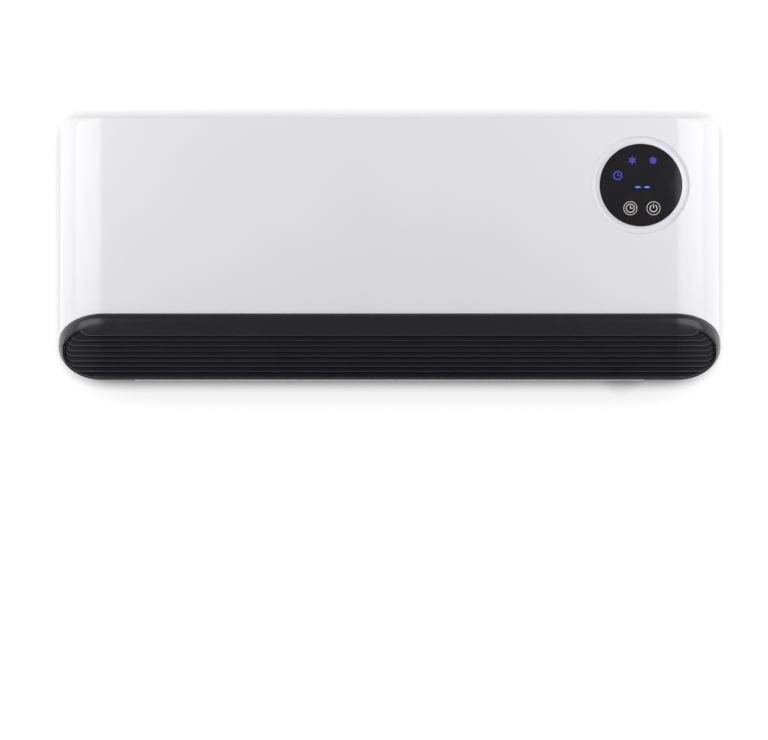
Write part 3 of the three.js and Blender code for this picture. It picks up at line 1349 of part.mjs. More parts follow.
function transformer() {
  const core = onPowerBoard(CORE_FROM_LEFT, CORE_FROM_FOOT, CORE_WIDTH, CORE_LENGTH, CORE_HEIGHT);
  const winding = onPowerBoard(
    CORE_FROM_LEFT + 5,
    CORE_FROM_FOOT + 3,
    CORE_WIDTH - 10,
    CORE_LENGTH - 6,
    WINDING_HEIGHT,
  );
  return joined(core, winding);
}

function controlGroup() {
  const group = new THREE.Group();
  place(group, "thermal_cutout", "ivory_plastic", thermalCutout());
  place(group, "thermal_fuse", "ivory_plastic", thermalFuse());
  place(group, "air_sensor", "matte_black", airSensor());
  place(group, "power_board", "board_green", powerBoard());
  place(group, "relay_1", "relay_blue", relay(0));
  place(group, "relay_2", "relay_blue", relay(1));
  place(group, "capacitor", "matte_black", capacitor());
  place(group, "transformer", "coil_tape", transformer());
  place(group, "terminal_block", "ivory_plastic", terminalBlock());
  return group;
}

// ---------------------------------------------------------------------------------------------------
// Main switch, sunk in a dish of the right-hand side wall. Its own frame has +X out of the wall and
// its pivot, an axis along Y, at the origin.
// ---------------------------------------------------------------------------------------------------
const SWITCH_Y = -50;
const SWITCH_HEIGHT = 100;
const SWITCH_WIDTH = 15; // of its flange
const SWITCH_LENGTH = 21;
const SWITCH_FLANGE = 1.8;
const DISH_DEPTH = 4.5; // of the dish in the wall
const DISH_MARGIN = 2.2; // round the flange
const SWITCH_FLANGE_EDGE = 1.6; // by which the flange covers the wall's hole
const SWITCH_DEPTH = 13;
const SWITCH_CUP = 1.4; // wall of its body
const ROCKER_TILT = 9; // degrees each way
const PIVOT_BELOW_FACE = 1.5; // from the flange's face down to the pivot

const SWITCH_FACE = PIVOT_BELOW_FACE; // outer face of the flange in the switch's frame
const SWITCH_WALL_FACE = SWITCH_FACE - SWITCH_FLANGE;
const CUP_HALF_LENGTH = SWITCH_LENGTH / 2 - SWITCH_FLANGE_EDGE;
const CUP_HALF_WIDTH = SWITCH_WIDTH / 2 - SWITCH_FLANGE_EDGE;
const ROCKER_HALF_LENGTH = CUP_HALF_LENGTH - SWITCH_CUP - GAP;
const ROCKER_HALF_WIDTH = CUP_HALF_WIDTH - SWITCH_CUP - GAP;

function switchFrame() {
  const seat = HALF_WIDTH - DISH_DEPTH + GAP;
  return new THREE.Matrix4().makeTranslation(seat - SWITCH_WALL_FACE, SWITCH_Y, SWITCH_HEIGHT);
}

// The dish's hollow as a tool, or with a wall the block that the hollow is cut from.
function switchDish(wall) {
  const floor = SWITCH_WALL_FACE - GAP;
  const mouth = wall ? floor + DISH_DEPTH - wall / 2 : FAR;
  const y = SWITCH_WIDTH / 2 + DISH_MARGIN + wall;
  const z = SWITCH_LENGTH / 2 + DISH_MARGIN + wall;
  return moved(box(floor - wall, mouth, -y, y, -z, z), switchFrame());
}

function switchHole() {
  const y = CUP_HALF_WIDTH + GAP;
  const z = CUP_HALF_LENGTH + GAP;
  return moved(box(-20, 2, -y, y, -z, z), switchFrame());
}

function switchBody() {
  const flange = box(
    SWITCH_WALL_FACE,
    SWITCH_FACE,
    -SWITCH_WIDTH / 2,
    SWITCH_WIDTH / 2,
    -SWITCH_LENGTH / 2,
    SWITCH_LENGTH / 2,
  );
  const cup = box(
    SWITCH_WALL_FACE - SWITCH_DEPTH,
    SWITCH_FACE - 0.4,
    -CUP_HALF_WIDTH,
    CUP_HALF_WIDTH,
    -CUP_HALF_LENGTH,
    CUP_HALF_LENGTH,
  );
  const y = CUP_HALF_WIDTH - SWITCH_CUP;
  const z = CUP_HALF_LENGTH - SWITCH_CUP;
  const inside = box(SWITCH_WALL_FACE - SWITCH_DEPTH + SWITCH_CUP, FAR, -y, y, -z, z);
  const cupBack = SWITCH_WALL_FACE - SWITCH_DEPTH;
  const blades = [-5, 0, 5].map((level) =>
    box(cupBack - 8, cupBack + 0.5, -2.4, 2.4, level - 0.4, level + 0.4),
  );
  return cut(joined(flange, cup, blades), inside);
}

// A rocker: a half round inside and two shallow slopes outside, at rest pressed in at its lower end.
function switchRocker() {
  const radius = ROCKER_HALF_LENGTH;
  const under = [];
  const steps = 10;
  for (let k = 0; k <= steps; k++) {
    const angle = Math.PI / 2 + (Math.PI * k) / steps;
    under.push([radius * 0.96 * Math.cos(angle), radius * 0.96 * Math.sin(angle)]);
  }
  const slopes = [
    [2.4, -radius * 0.92],
    [1.3, 0],
    [2.4, radius * 0.92],
  ];
  return extruded("Y", outline([...under, ...slopes]), -ROCKER_HALF_WIDTH, ROCKER_HALF_WIDTH);
}

function switchGroup() {
  const group = new THREE.Group();
  group.applyMatrix4(switchFrame());
  place(group, "main_switch_body", "matte_black", switchBody());
  const rocker = place(group, "main_switch_rocker", "gloss_black", switchRocker());
  rocker.rotation.y = (ROCKER_TILT * Math.PI) / 180;
  return group;
}

// ---------------------------------------------------------------------------------------------------
// Cord gland in the underside, close to the wall
// ---------------------------------------------------------------------------------------------------
const GLAND_FLANGE = 7.5;
const GLAND_BORE = 3.2;
const GLAND_SLEEVE = 6; // length inside the housing
const GLAND_BRIM = 2.6; // thickness of its flange outside

function cordGland() {
  const outside = REAR_INSET - GAP;
  const inside = REAR_INSET + WALL + GAP;
  return turned("Z", [
    [GLAND_BORE, outside - GLAND_BRIM],
    [GLAND_FLANGE - GLAND_BRIM / 2, outside - GLAND_BRIM],
    [GLAND_FLANGE, outside - GLAND_BRIM / 2],
    [GLAND_FLANGE, outside],
    [GLAND_HOLE - GAP, outside],
    [GLAND_HOLE - GAP, inside],
    [GLAND_HOLE + 0.8, inside],
    [GLAND_HOLE - GAP, inside + GLAND_SLEEVE],
    [GLAND_BORE, inside + GLAND_SLEEVE],
    [GLAND_BORE, outside - GLAND_BRIM],
  ]).translate([GLAND_X, GLAND_Y, 0]);
}

// ---------------------------------------------------------------------------------------------------
// The whole heater
// ---------------------------------------------------------------------------------------------------
function casingGroup() {
  const group = new THREE.Group();
  place(group, "front_housing", "gloss_white", frontHousing());
  place(group, "rear_housing", "satin_white", rearHousing());
  place(group, "outlet_grille", "satin_black", outletGrille());
  place(group, "inlet_grille", "satin_white", inletGrille());
  place(group, "inlet_filter", "filter_grey", filter());
  place(group, "cord_gland", "rubber", cordGland());
  screwPlaces().forEach((spot, i) => {
    place(group, `housing_screw_${i + 1}`, "bright_steel", housingScrew(spot));
  });
  return group;
}

function ductGroup() {
  const group = new THREE.Group();
  place(group, "end_plate_left", "galvanised", leftPlate());
  place(group, "end_plate_right", "galvanised", rightPlate());
  place(group, "scroll", "galvanised", scroll());
  place(group, "stabiliser", "galvanised", stabiliser());
  return group;
}

function fanGroup() {
  const group = new THREE.Group();
  group.position.set(0, FAN_Y, FAN_HEIGHT);
  place(group, "impeller", "matte_black", impeller());
  place(group, "impeller_hub", "rubber", impellerHub());
  place(group, "stub_shaft", "bright_steel", stubShaft());
  place(group, "fan_bearing", "bronze", fanBearing());
  place(group, "bearing_mount", "rubber", bearingMount());
  place(group, "motor_stack", "lamination", statorStack());
  place(group, "motor_coil", "coil_tape", motorCoil());
  place(group, "motor_rotor", "lamination", motorRotor());
  place(group, "motor_shaft", "bright_steel", motorShaft());
  place(group, "motor_bracket_inner", "galvanised", motorBracket(BRACKET_INNER_X, -1));
  place(group, "motor_bracket_outer", "galvanised", motorBracket(BRACKET_OUTER_X, 1));
  return group;
}

const heater = new THREE.Group();
heater.add(casingGroup(), displayGroup(), ductGroup(), fanGroup());
heater.add(heatingGroup(), controlGroup(), switchGroup());
heater.position.z = -HANG_HEIGHT;

export default heater;
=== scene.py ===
import bpy
import bmesh
import numpy as np
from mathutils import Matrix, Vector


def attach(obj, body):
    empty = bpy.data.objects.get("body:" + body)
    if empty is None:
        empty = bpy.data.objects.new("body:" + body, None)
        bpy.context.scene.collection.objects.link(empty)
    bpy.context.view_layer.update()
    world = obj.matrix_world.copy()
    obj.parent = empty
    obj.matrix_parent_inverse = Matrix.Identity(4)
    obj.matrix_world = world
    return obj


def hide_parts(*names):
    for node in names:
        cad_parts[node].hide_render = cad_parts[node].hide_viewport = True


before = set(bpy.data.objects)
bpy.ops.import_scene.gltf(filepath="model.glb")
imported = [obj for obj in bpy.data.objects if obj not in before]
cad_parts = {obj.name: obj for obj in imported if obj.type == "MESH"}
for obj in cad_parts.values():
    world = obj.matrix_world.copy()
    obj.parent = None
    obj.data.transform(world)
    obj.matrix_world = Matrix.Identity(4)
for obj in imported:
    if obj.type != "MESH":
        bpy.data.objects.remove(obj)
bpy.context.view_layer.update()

# Places are in millimetres above the heater's underside unless a line says otherwise. The frame's own
# origin is where the heater hangs, HANG above that, and the frame is in metres.

# ---- Rear housing ---------------------------------------------------------------------------------
# The tray that hangs on two wall screws. Injection-moulded white ABS, 2.5 mm thick, with a fine
# eroded texture. Its solid has the right shape, so a welded copy of it gets rounded edges.
HANG = 150
PAPER_WHITE = (0.71, 0.705, 0.735)


def to_frame(points):
    """Points in millimetres above the underside, as metres in the frame."""
    return (np.asarray(points, float) - (0, 0, HANG)) / 1000


def add(tree, kind, **values):
    """A shader node. A value is one of its settings, or else an input to set or to link to."""
    node = tree.nodes.new(kind)
    for key, value in values.items():
        if hasattr(node, key):
            setattr(node, key, value)
            continue
        socket = node.inputs[key.replace("_", " ")]
        if isinstance(value, bpy.types.NodeSocket):
            tree.links.new(value, socket)
        else:
            socket.default_value = value
    return node


def surface(name, **sockets):
    """An empty Principled material and its tree, shader and the Object coordinates in metres."""
    material = bpy.data.materials.new(name)
    material.use_nodes = True
    tree = material.node_tree
    shader = tree.nodes["Principled BSDF"]
    for key, value in sockets.items():
        shader.inputs[key.replace("_", " ")].default_value = value
    return material, tree, shader, add(tree, "ShaderNodeTexCoord").outputs["Object"]


def noise(tree, place, scale, detail):
    """The value of a noise with so many patches to the metre and so many finer layers."""
    return add(tree, "ShaderNodeTexNoise", Vector=place, Scale=scale, Detail=detail).outputs["Fac"]


def shades(tree, value, low, high, start=0.35, end=0.65):
    """Two colours mixed by a value that runs from start to end."""
    ramp = add(tree, "ShaderNodeValToRGB", Fac=value)
    for stop, position, colour in zip(ramp.color_ramp.elements, (start, end), (low, high)):
        stop.position = position
        stop.color = (*colour, 1)
    return ramp.outputs["Color"]


def spread(tree, value, low, high, start=0.3, end=0.7):
    """A value between start and end moved to low and high."""
    limits = {"From_Min": start, "From_Max": end, "To_Min": low, "To_Max": high}
    return add(tree, "ShaderNodeMapRange", Value=value, **limits).outputs["Result"]


def relief(tree, shader, height, distance, strength=1.0):
    """Raises the surface by a height times a distance in metres."""
    bump = add(tree, "ShaderNodeBump", Height=height, Distance=distance, Strength=strength)
    tree.links.new(bump.outputs["Normal"], shader.inputs["Normal"])


def clad(tree, shader, value, low, high, gleam, depth, span=(0.35, 0.65), gleam_span=(0.3, 0.7)):
    """Gives a surface two colours, two roughnesses and a relief, all by one pattern's value."""
    tree.links.new(shades(tree, value, low, high, *span), shader.inputs["Base Color"])
    tree.links.new(spread(tree, value, *gleam, *gleam_span), shader.inputs["Roughness"])
    relief(tree, shader, value, depth)


def moulded(name, colour, roughness, grain=0.5, depth=8e-6, mottle=0.02, **sockets):
    """Moulded plastic. Its colour drifts by mottle over 40 mm and its sheen by a seventh over 12 mm,
    and a noise grain millimetres across roughens it by depth metres."""
    material, tree, shader, place = surface(name, **sockets)
    drift = noise(tree, place, 25, 3)
    dark, light = (tuple(np.clip(np.array(colour) * (1 + s * mottle), 0, 1)) for s in (-1, 1))
    tree.links.new(shades(tree, drift, dark, light), shader.inputs["Base Color"])
    haze = noise(tree, place, 80, 4)
    sheen = spread(tree, haze, roughness * 0.86, roughness * 1.14)
    tree.links.new(sheen, shader.inputs["Roughness"])
    relief(tree, shader, noise(tree, place, 1000 / grain, 2), depth)
    return material


def rounded_copy(node, body, material, edge=0.4, angle=38):
    """A welded copy of a solid, shaded smooth, with its sharp edges rounded by edge millimetres."""
    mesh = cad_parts[node].data.copy()
    welded = bmesh.new()
    welded.from_mesh(mesh)
    bmesh.ops.remove_doubles(welded, verts=welded.verts, dist=2e-6)
    bmesh.ops.dissolve_limit(welded, angle_limit=0.004, verts=welded.verts, edges=welded.edges)
    welded.to_mesh(mesh)
    welded.free()
    mesh.shade_smooth()
    mesh.materials.clear()
    mesh.materials.append(material)
    piece = bpy.data.objects.new(node + "_rounded", mesh)
    bpy.context.scene.collection.objects.link(piece)
    rounding = piece.modifiers.new("Rounded edges", "BEVEL")
    rounding.width = edge / 1000
    rounding.segments = 2
    rounding.limit_method = "ANGLE"
    rounding.angle_limit = np.radians(angle)
    rounding.harden_normals = True
    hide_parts(node)
    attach(piece, body)
    return piece


satin_white = moulded("satin_white", PAPER_WHITE, 0.42, grain=0.35, depth=1.2e-5)
rounded_copy("rear_housing", "casing", satin_white, edge=0.3)

# ---- Screws ---------------------------------------------------------------------------------------
# Four zinc-plated pan-head screws that pull the two housings together from behind. The plating is
# cloudy in patches a millimetre across, so their sheen is uneven.
zinc, tree, shader, place = surface("zinc_plate", Metallic=1.0)
cloud = noise(tree, place, 900, 3)
clad(tree, shader, cloud, (0.50, 0.52, 0.54), (0.66, 0.67, 0.68), (0.2, 0.38), 1e-5)
for i in range(1, 5):
    rounded_copy(f"housing_screw_{i}", "casing", zinc, edge=0.35)

# ---- Cord gland -----------------------------------------------------------------------------------
# A soft black rubber bush where the supply cord enters the underside. It snaps into a round hole.
rubber = moulded("gland_rubber", (0.014, 0.014, 0.015), 0.72, grain=0.8, depth=2e-5, mottle=0.12)
rounded_copy("cord_gland", "casing", rubber, edge=0.3)

# ---- Air duct -------------------------------------------------------------------------------------
# Two end plates, the scroll behind the fan and the stabiliser in front of it. All are punched and
# bent from galvanised sheet, which shows flakes of zinc a few millimetres across.
galvanised, tree, shader, place = surface("galvanised_sheet", Metallic=0.9)
flakes = add(tree, "ShaderNodeTexVoronoi", Vector=place, Scale=190)
flake = add(tree, "ShaderNodeSeparateColor", Color=flakes.outputs["Color"]).outputs["Red"]
spangle = shades(tree, flake, (0.36, 0.38, 0.40), (0.55, 0.57, 0.59), 0.1, 0.9)
tree.links.new(spangle, shader.inputs["Base Color"])
tree.links.new(spread(tree, flake, 0.34, 0.5, 0, 1), shader.inputs["Roughness"])
relief(tree, shader, flakes.outputs["Distance"], 2e-5)


def finish(material, *nodes):
    """Gives solids that keep their shape their material."""
    for name in nodes:
        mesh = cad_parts[name].data
        mesh.materials.clear()
        mesh.materials.append(material)


finish(galvanised, "end_plate_left", "end_plate_right", "scroll", "stabiliser")

# ---- Fan ------------------------------------------------------------------------------------------
# The cross-flow impeller is welded from black glass-filled polypropylene rings, so short fibres
# show. Its hub is rubber, it turns on a steel stub in a sintered bronze bush, in a rubber mount.
fibre = moulded("fibre_black", (0.016, 0.016, 0.017), 0.55, grain=1.2, depth=2.5e-5, mottle=0.25)
finish(fibre, "impeller")
finish(rubber, "impeller_hub", "bearing_mount")

turned_steel, tree, shader, place = surface("turned_steel", Metallic=1.0)
rings = add(tree, "ShaderNodeTexWave", Vector=place, Scale=420, Distortion=1.5, Detail=2, bands_direction="X")
clad(tree, shader, rings.outputs["Fac"], (0.48, 0.49, 0.5), (0.62, 0.62, 0.63), (0.18, 0.32), 3e-6)
finish(turned_steel, "stub_shaft", "motor_shaft")

bronze, tree, shader, place = surface("sintered_bronze", Metallic=0.9)
pores = add(tree, "ShaderNodeTexVoronoi", Vector=place, Scale=2600).outputs["Distance"]
pore_edge = (0.05, 0.4)
bronze_pair = (0.16, 0.09, 0.035), (0.42, 0.25, 0.10)
clad(tree, shader, pores, *bronze_pair, (0.6, 0.36), 3e-5, pore_edge, pore_edge)
finish(bronze, "fan_bearing")

# ---- Motor ----------------------------------------------------------------------------------------
# A shaded-pole motor: a stack of 0.5 mm steel sheets, a winding wrapped in yellow polyester tape,
# a cast squirrel-cage rotor, and two pressed brackets with the shaft's bearings.
lamination, tree, shader, place = surface("lamination_stack", Metallic=0.8)
layers = {"Scale": 318, "Distortion": 0.4, "Detail": 2, "bands_direction": "X"}
sheets = add(tree, "ShaderNodeTexWave", Vector=place, **layers).outputs["Fac"]
clad(tree, shader, sheets, (0.06, 0.065, 0.072), (0.17, 0.18, 0.19), (0.6, 0.42), 8e-5)
finish(lamination, "motor_stack", "motor_rotor")

tape, tree, shader, place = surface("winding_tape", Coat_Weight=0.4)
turns = {"Scale": 28, "Distortion": 0.6, "wave_profile": "SAW", "bands_direction": "Y"}
wraps = add(tree, "ShaderNodeTexWave", Vector=place, **turns).outputs["Fac"]
clad(tree, shader, wraps, (0.44, 0.26, 0.035), (0.62, 0.42, 0.07), (0.3, 0.5), 1.2e-4, (0.05, 0.95))
finish(tape, "motor_coil", "transformer")
finish(galvanised, "motor_bracket_inner", "motor_bracket_outer")

# ---- Heating element ------------------------------------------------------------------------------
# Pleated aluminium fins brazed between flat ceramic tubes, held in two rails and two plastic end
# holders, with three spade terminals. The fins' strip is rolled, so its grain runs along it.
aluminium, tree, shader, place = surface("rolled_aluminium", Metallic=0.95)
stretched = add(tree, "ShaderNodeMapping", Vector=place, Scale=(40, 1400, 1400)).outputs["Vector"]
rolled = noise(tree, stretched, 1, 3)
clad(tree, shader, rolled, (0.52, 0.53, 0.54), (0.68, 0.69, 0.7), (0.28, 0.42), 1.5e-5)
finish(aluminium, "heater_fins_1", "heater_fins_2", "heater_fins_3", "heater_rail_upper", "heater_rail_lower")

ceramic, tree, shader, place = surface("fired_ceramic")
specks = noise(tree, place, 700, 4)
clad(tree, shader, specks, (0.55, 0.52, 0.46), (0.72, 0.70, 0.65), (0.75, 0.5), 2e-5)
finish(ceramic, "heater_tube_1", "heater_tube_2")

holder = moulded("holder_nylon", (0.16, 0.175, 0.19), 0.5, grain=0.7, depth=1.5e-5, mottle=0.08)
finish(holder, "heater_holder_left", "heater_holder_right")
finish(turned_steel, "heater_terminal_1", "heater_terminal_2", "heater_terminal_3")

# ---- Safety parts and power board -----------------------------------------------------------------
# A thermal cut-out, a fuse and an air sensor clipped to the end plate, and the board that switches
# the heater: green lacquer over copper tracks, blue relays, a capacitor and a transformer.
ivory = moulded("ivory_plastic", (0.62, 0.55, 0.40), 0.45, grain=0.6, mottle=0.05)
finish(ivory, "thermal_cutout", "thermal_fuse", "terminal_block", "icon_light_guide")
matt_black = moulded("matt_black", (0.012, 0.012, 0.013), 0.6, grain=0.5, depth=1.5e-5, mottle=0.15)
finish(matt_black, "air_sensor", "capacitor", "digit_module", "infrared_receiver")
relay_blue = moulded("relay_blue", (0.02, 0.075, 0.27), 0.34, grain=0.8, mottle=0.06)
finish(relay_blue, "relay_1", "relay_2")
finish(turned_steel, "touch_spring_timer", "touch_spring_power")

lacquer, tree, shader, place = surface("green_lacquer", Coat_Weight=0.5)
tracks = add(tree, "ShaderNodeTexBrick", Vector=place, Scale=60, offset=0.35, squash=1.6)
tracks.inputs["Mortar Size"].default_value = 0.09
tracks.inputs["Color1"].default_value = tracks.inputs["Color2"].default_value = (0, 0, 0, 1)
tracks.inputs["Mortar"].default_value = (1, 1, 1, 1)
track = add(tree, "ShaderNodeSeparateColor", Color=tracks.outputs["Color"]).outputs["Red"]
clad(tree, shader, track, (0.012, 0.10, 0.045), (0.035, 0.19, 0.08), (0.4, 0.3), 3e-5)
finish(lacquer, "power_board", "display_board")

# ---- Front housing --------------------------------------------------------------------------------
# One glossy white ABS moulding: a front face that leans forward to the foot, round front corners,
# round lower corners, and a sharp top edge. It is open behind, and cut out for the outlet grille,
# the air inlet, the display and the switch.
HALF_WIDTH, HEIGHT, WALL = 273.4, 217, 2.5
TOP_DEPTH, LEAN, CORNER, FOOT_CURVE = 104, 8, 38, 29
TOP_ROUND, TOP_ROUND_SIDE, TOP_ROUND_FRONT = 6, 8, 1.2
CORNER_X = HALF_WIDTH - CORNER
PART_LINE = -22
POLISHED_WHITE = (0.765, 0.76, 0.795)


def face_y(z):
    """Depth of the leaning front face at a height."""
    return -(TOP_DEPTH + LEAN * (1 - z / HEIGHT))


def quads(rows, columns, wrap=False):
    """Cells of a grid of rows by columns, joined round from the last column to the first if asked."""
    index = np.arange(rows * columns).reshape(rows, columns)
    if wrap:
        index = np.hstack([index, index[:, :1]])
    return np.stack([index[:-1, :-1], index[:-1, 1:], index[1:, 1:], index[1:, :-1]], -1).reshape(-1, 4)


def closed(rows, columns):
    """Faces of a bar: a grid of rings that is wrapped round, and a cap on each end ring."""
    last = (rows - 1) * columns
    caps = [tuple(range(columns - 1, -1, -1)), tuple(last + i for i in range(columns))]
    return [*quads(rows, columns, wrap=True), *caps]


def mesh_of(name, *parts):
    """One mesh from parts, each a grid of points in millimetres and its faces."""
    points, faces, first = [], [], 0
    for grid, cells in parts:
        flat = np.asarray(grid, float).reshape(-1, 3)
        points.append(flat)
        faces += [[first + int(i) for i in cell] for cell in cells]
        first += len(flat)
    mesh = bpy.data.meshes.new(name)
    mesh.from_pydata(to_frame(np.concatenate(points)).tolist(), [], faces)
    mesh.update()
    return mesh


def piece_of(name, mesh, material, angle=40):
    """A linked object whose mesh is welded, faces outward and is smooth below an angle in degrees."""
    welded = bmesh.new()
    welded.from_mesh(mesh)
    bmesh.ops.remove_doubles(welded, verts=welded.verts, dist=1e-6)
    bmesh.ops.recalc_face_normals(welded, faces=welded.faces)
    welded.to_mesh(mesh)
    welded.free()
    mesh.shade_smooth()
    mesh.set_sharp_from_angle(angle=np.radians(angle))
    mesh.materials.append(material)
    piece = bpy.data.objects.new(name, mesh)
    bpy.context.scene.collection.objects.link(piece)
    return piece


def apply_modifiers(piece):
    """Turns a piece's mesh into what its modifiers make of it."""
    bpy.context.view_layer.update()
    seen = piece.evaluated_get(bpy.context.evaluated_depsgraph_get())
    made = bpy.data.meshes.new_from_object(seen)
    piece.modifiers.clear()
    piece.data = made


def carve(piece, operation, *meshes):
    """Joins closed meshes to a piece (UNION) or cuts them out of it (DIFFERENCE)."""
    for mesh in meshes:
        tool = piece_of("carving_tool", mesh, piece.data.materials[0])
        step = piece.modifiers.new("Carve", "BOOLEAN")
        step.operation, step.solver, step.object = operation, "EXACT", tool
        apply_modifiers(piece)
        bpy.data.objects.remove(tool)


def casing_levels(steps=26, round_steps=10):
    """Each level's height, how much of the corner's arc is left, and how far the top edge draws in."""
    low = np.cos(np.linspace(0, np.pi / 2, steps))
    angle = np.linspace(0, np.pi / 2, round_steps)[1:]
    below = TOP_ROUND * (1 - np.sin(angle))
    share = np.clip(1 - below / TOP_ROUND_FRONT, 0, 1)
    straight = np.linspace(FOOT_CURVE, HEIGHT - TOP_ROUND, 9)[1:]
    z = np.concatenate([FOOT_CURVE * (1 - low), straight, HEIGHT - below])
    none = np.zeros(steps + len(straight))
    full = np.ones(len(straight) + len(angle))
    reach = np.concatenate([np.sqrt(1 - np.minimum(0.9995, low) ** 2), full])
    side = np.concatenate([none, TOP_ROUND_SIDE * (1 - np.cos(angle))])
    front = np.concatenate([none, TOP_ROUND_FRONT * (1 - np.sqrt(1 - share**2))])
    return z, reach, side, front


def casing_skin(arc_steps=30, flat_steps=24):
    """Rings round the casing from one rear edge to the other: for each level a corner is an arc
    x = CORNER_X + rx sin a, y = face + CORNER - ry cos a, with a from 0 to the arcsine of its reach."""
    z, reach, side, front = (v[:, None] for v in casing_levels())
    a = np.arcsin(reach) * np.linspace(0, 1, arc_steps)
    x = CORNER_X + (CORNER - side) * np.sin(a)
    y = face_y(z) + CORNER - (CORNER - front) * np.cos(a)
    rear = np.linspace(0, 1, 5)[1:] ** 0.8
    x = np.hstack([x, np.repeat(x[:, -1:], len(rear), 1)])
    y = np.hstack([y, y[:, -1:] + (PART_LINE - y[:, -1:]) * rear])
    inner = np.linspace(4 - CORNER_X, CORNER_X - 4, flat_steps)
    inner = np.concatenate([[0.8 - CORNER_X], inner, [CORNER_X - 0.8]])
    flat_x = np.repeat(inner[None], len(z), 0)
    flat_y = np.repeat(y[:, :1], len(inner), 1)
    x = np.hstack([-x[:, ::-1], flat_x, x])
    y = np.hstack([y[:, ::-1], flat_y, y])
    return np.stack([x, y, np.repeat(z, x.shape[1], 1)], -1)


def box_mesh(x0, x1, y0, y1, z0, z1):
    """A closed box between six planes."""
    corners = [(x, y, z) for z in (z0, z1) for x, y in ((x0, y0), (x1, y0), (x1, y1), (x0, y1))]
    faces = [(0, 3, 2, 1), (4, 5, 6, 7), (0, 1, 5, 4), (1, 2, 6, 5), (2, 3, 7, 6), (3, 0, 4, 7)]
    return corners, faces


def tube_mesh(outline, y0, y1):
    """A closed bar along Y whose section is an outline of x, z points."""
    ends = [np.column_stack([outline[:, 0], np.full(len(outline), y), outline[:, 1]]) for y in (y0, y1)]
    return np.stack(ends), closed(2, len(outline))


GRILLE_TOP, GRILLE_PROUD, GAP = 55.2, 1.6, 0.3


def grille_outline(grow, steps=48):
    """Stadium with elliptical ends, seen from the front, anticlockwise from the foot's right end."""
    a = np.linspace(-np.pi / 2, np.pi / 2, 2 * steps)
    radius = CORNER + GRILLE_PROUD + grow
    up = np.where(a > 0, GRILLE_TOP - FOOT_CURVE, FOOT_CURVE) + grow
    right = np.column_stack([CORNER_X + radius * np.cos(a), FOOT_CURVE + up * np.sin(a)])
    left = right[::-1] * (-1, 1)
    return np.vstack([right, left])


LENS_X, LENS_Z, RING_RADIUS, RING_SEAM = 207.2, 161.3, 40.4, 0.06
TILT = np.arctan2(LEAN, HEIGHT)
DISPLAY_OUT = np.array([0, -np.cos(TILT), np.sin(TILT)])
DISPLAY_UP = np.array([0, np.sin(TILT), np.cos(TILT)])


def on_display(x, up, out):
    """Points of the display's own plane: x and up from its middle, and out of the front face."""
    middle = np.array([LENS_X, face_y(LENS_Z), LENS_Z])
    x, up, out = (np.asarray(v, float)[..., None] for v in np.broadcast_arrays(x, up, out))
    return middle + x * (1, 0, 0) + up * DISPLAY_UP + out * DISPLAY_OUT


def display_bore(radius, depth=30, steps=128):
    """A closed round bar along the display's axis."""
    a = np.linspace(0, 2 * np.pi, steps, endpoint=False)
    rings = np.stack([on_display(radius * np.cos(a), radius * np.sin(a), out) for out in (depth, -depth)])
    return rings, closed(2, steps)


INLET, INLET_CORNER, WELL_FOOT = (-172, 172, -92, -30), 0.6, 204
LIP_HALF_WIDTH, LIP_FRONT, LIP_BACK, LIP_THICKNESS = 210, -98, -57, 1.2

gloss_white, tree, shader, place = surface("polished_white", Specular_IOR_Level=0.4, Coat_Weight=0.2,
                                           Coat_Roughness=0.06)
drift = noise(tree, place, 9, 2)
low, high = ((tuple(np.array(POLISHED_WHITE) * s)) for s in (0.992, 1.008))
tree.links.new(shades(tree, drift, low, high), shader.inputs["Base Color"])
flow = noise(tree, place, 60, 5)
tree.links.new(spread(tree, flow, 0.225, 0.245), shader.inputs["Roughness"])
peel = noise(tree, place, 260, 2)
relief(tree, shader, peel, 6e-6)

skin = casing_skin()
rows, columns = skin.shape[:2]
foot_ring = tuple(range(columns - 1, -1, -1))
top_ring = tuple((rows - 1) * columns + i for i in range(columns))
skin_mesh = mesh_of("front_shell", (skin, [*quads(rows, columns), foot_ring, top_ring]))
shell = piece_of("front_shell", skin_mesh, gloss_white)
thickness = shell.modifiers.new("Wall", "SOLIDIFY")
thickness.thickness, thickness.offset, thickness.use_even_offset = WALL / 1000, -1, True
apply_modifiers(shell)


def swept(profile, path, across):
    """A profile of (across, z) points carried round a closed path of x, y points. across is each
    path point's direction away from the path's inside."""
    x = path[:, :1] + across[:, :1] * profile[:, 0]
    y = path[:, 1:] + across[:, 1:] * profile[:, 0]
    z = np.repeat(profile[None, :, 1], len(path), 0)
    return np.stack([x, y, z], -1).transpose(1, 0, 2)


def rectangle(x0, x1, y0, y1, radius, steps=6):
    """A rectangle with round corners, anticlockwise from above, and its outward directions."""
    a = np.linspace(0, np.pi / 2, steps)
    turns = [a + k * np.pi / 2 for k in range(4)]
    centres = [(x1, y1), (x0, y1), (x0, y0), (x1, y0)]
    signs = [(-1, -1), (1, -1), (1, 1), (-1, 1)]
    path, out = [], []
    for turn, (cx, cy), (sx, sy) in zip(turns, centres, signs):
        direction = np.column_stack([np.cos(turn), np.sin(turn)])
        path.append(np.array([cx + sx * radius, cy + sy * radius]) + radius * direction)
        out.append(direction)
    return np.vstack(path), np.vstack(out)


DISH = (-59.7, -40.3, 87.3, 112.7)
DISH_FLOOR, PAD_BACK, PAD_MARGIN, SWITCH_MARGIN = 268.9, 266.4, 2.5, 3.5
FLOOR_FILLET, MOUTH_ROUND, DISH_CORNER = 0.8, 0.5, 1.6
CARVE_PAST, FOOT_CUT, INLET_CUT = 6, (-200, -58), (200, 230)
THROUGH_SIDE = (PAD_BACK - CARVE_PAST, HALF_WIDTH + CARVE_PAST)


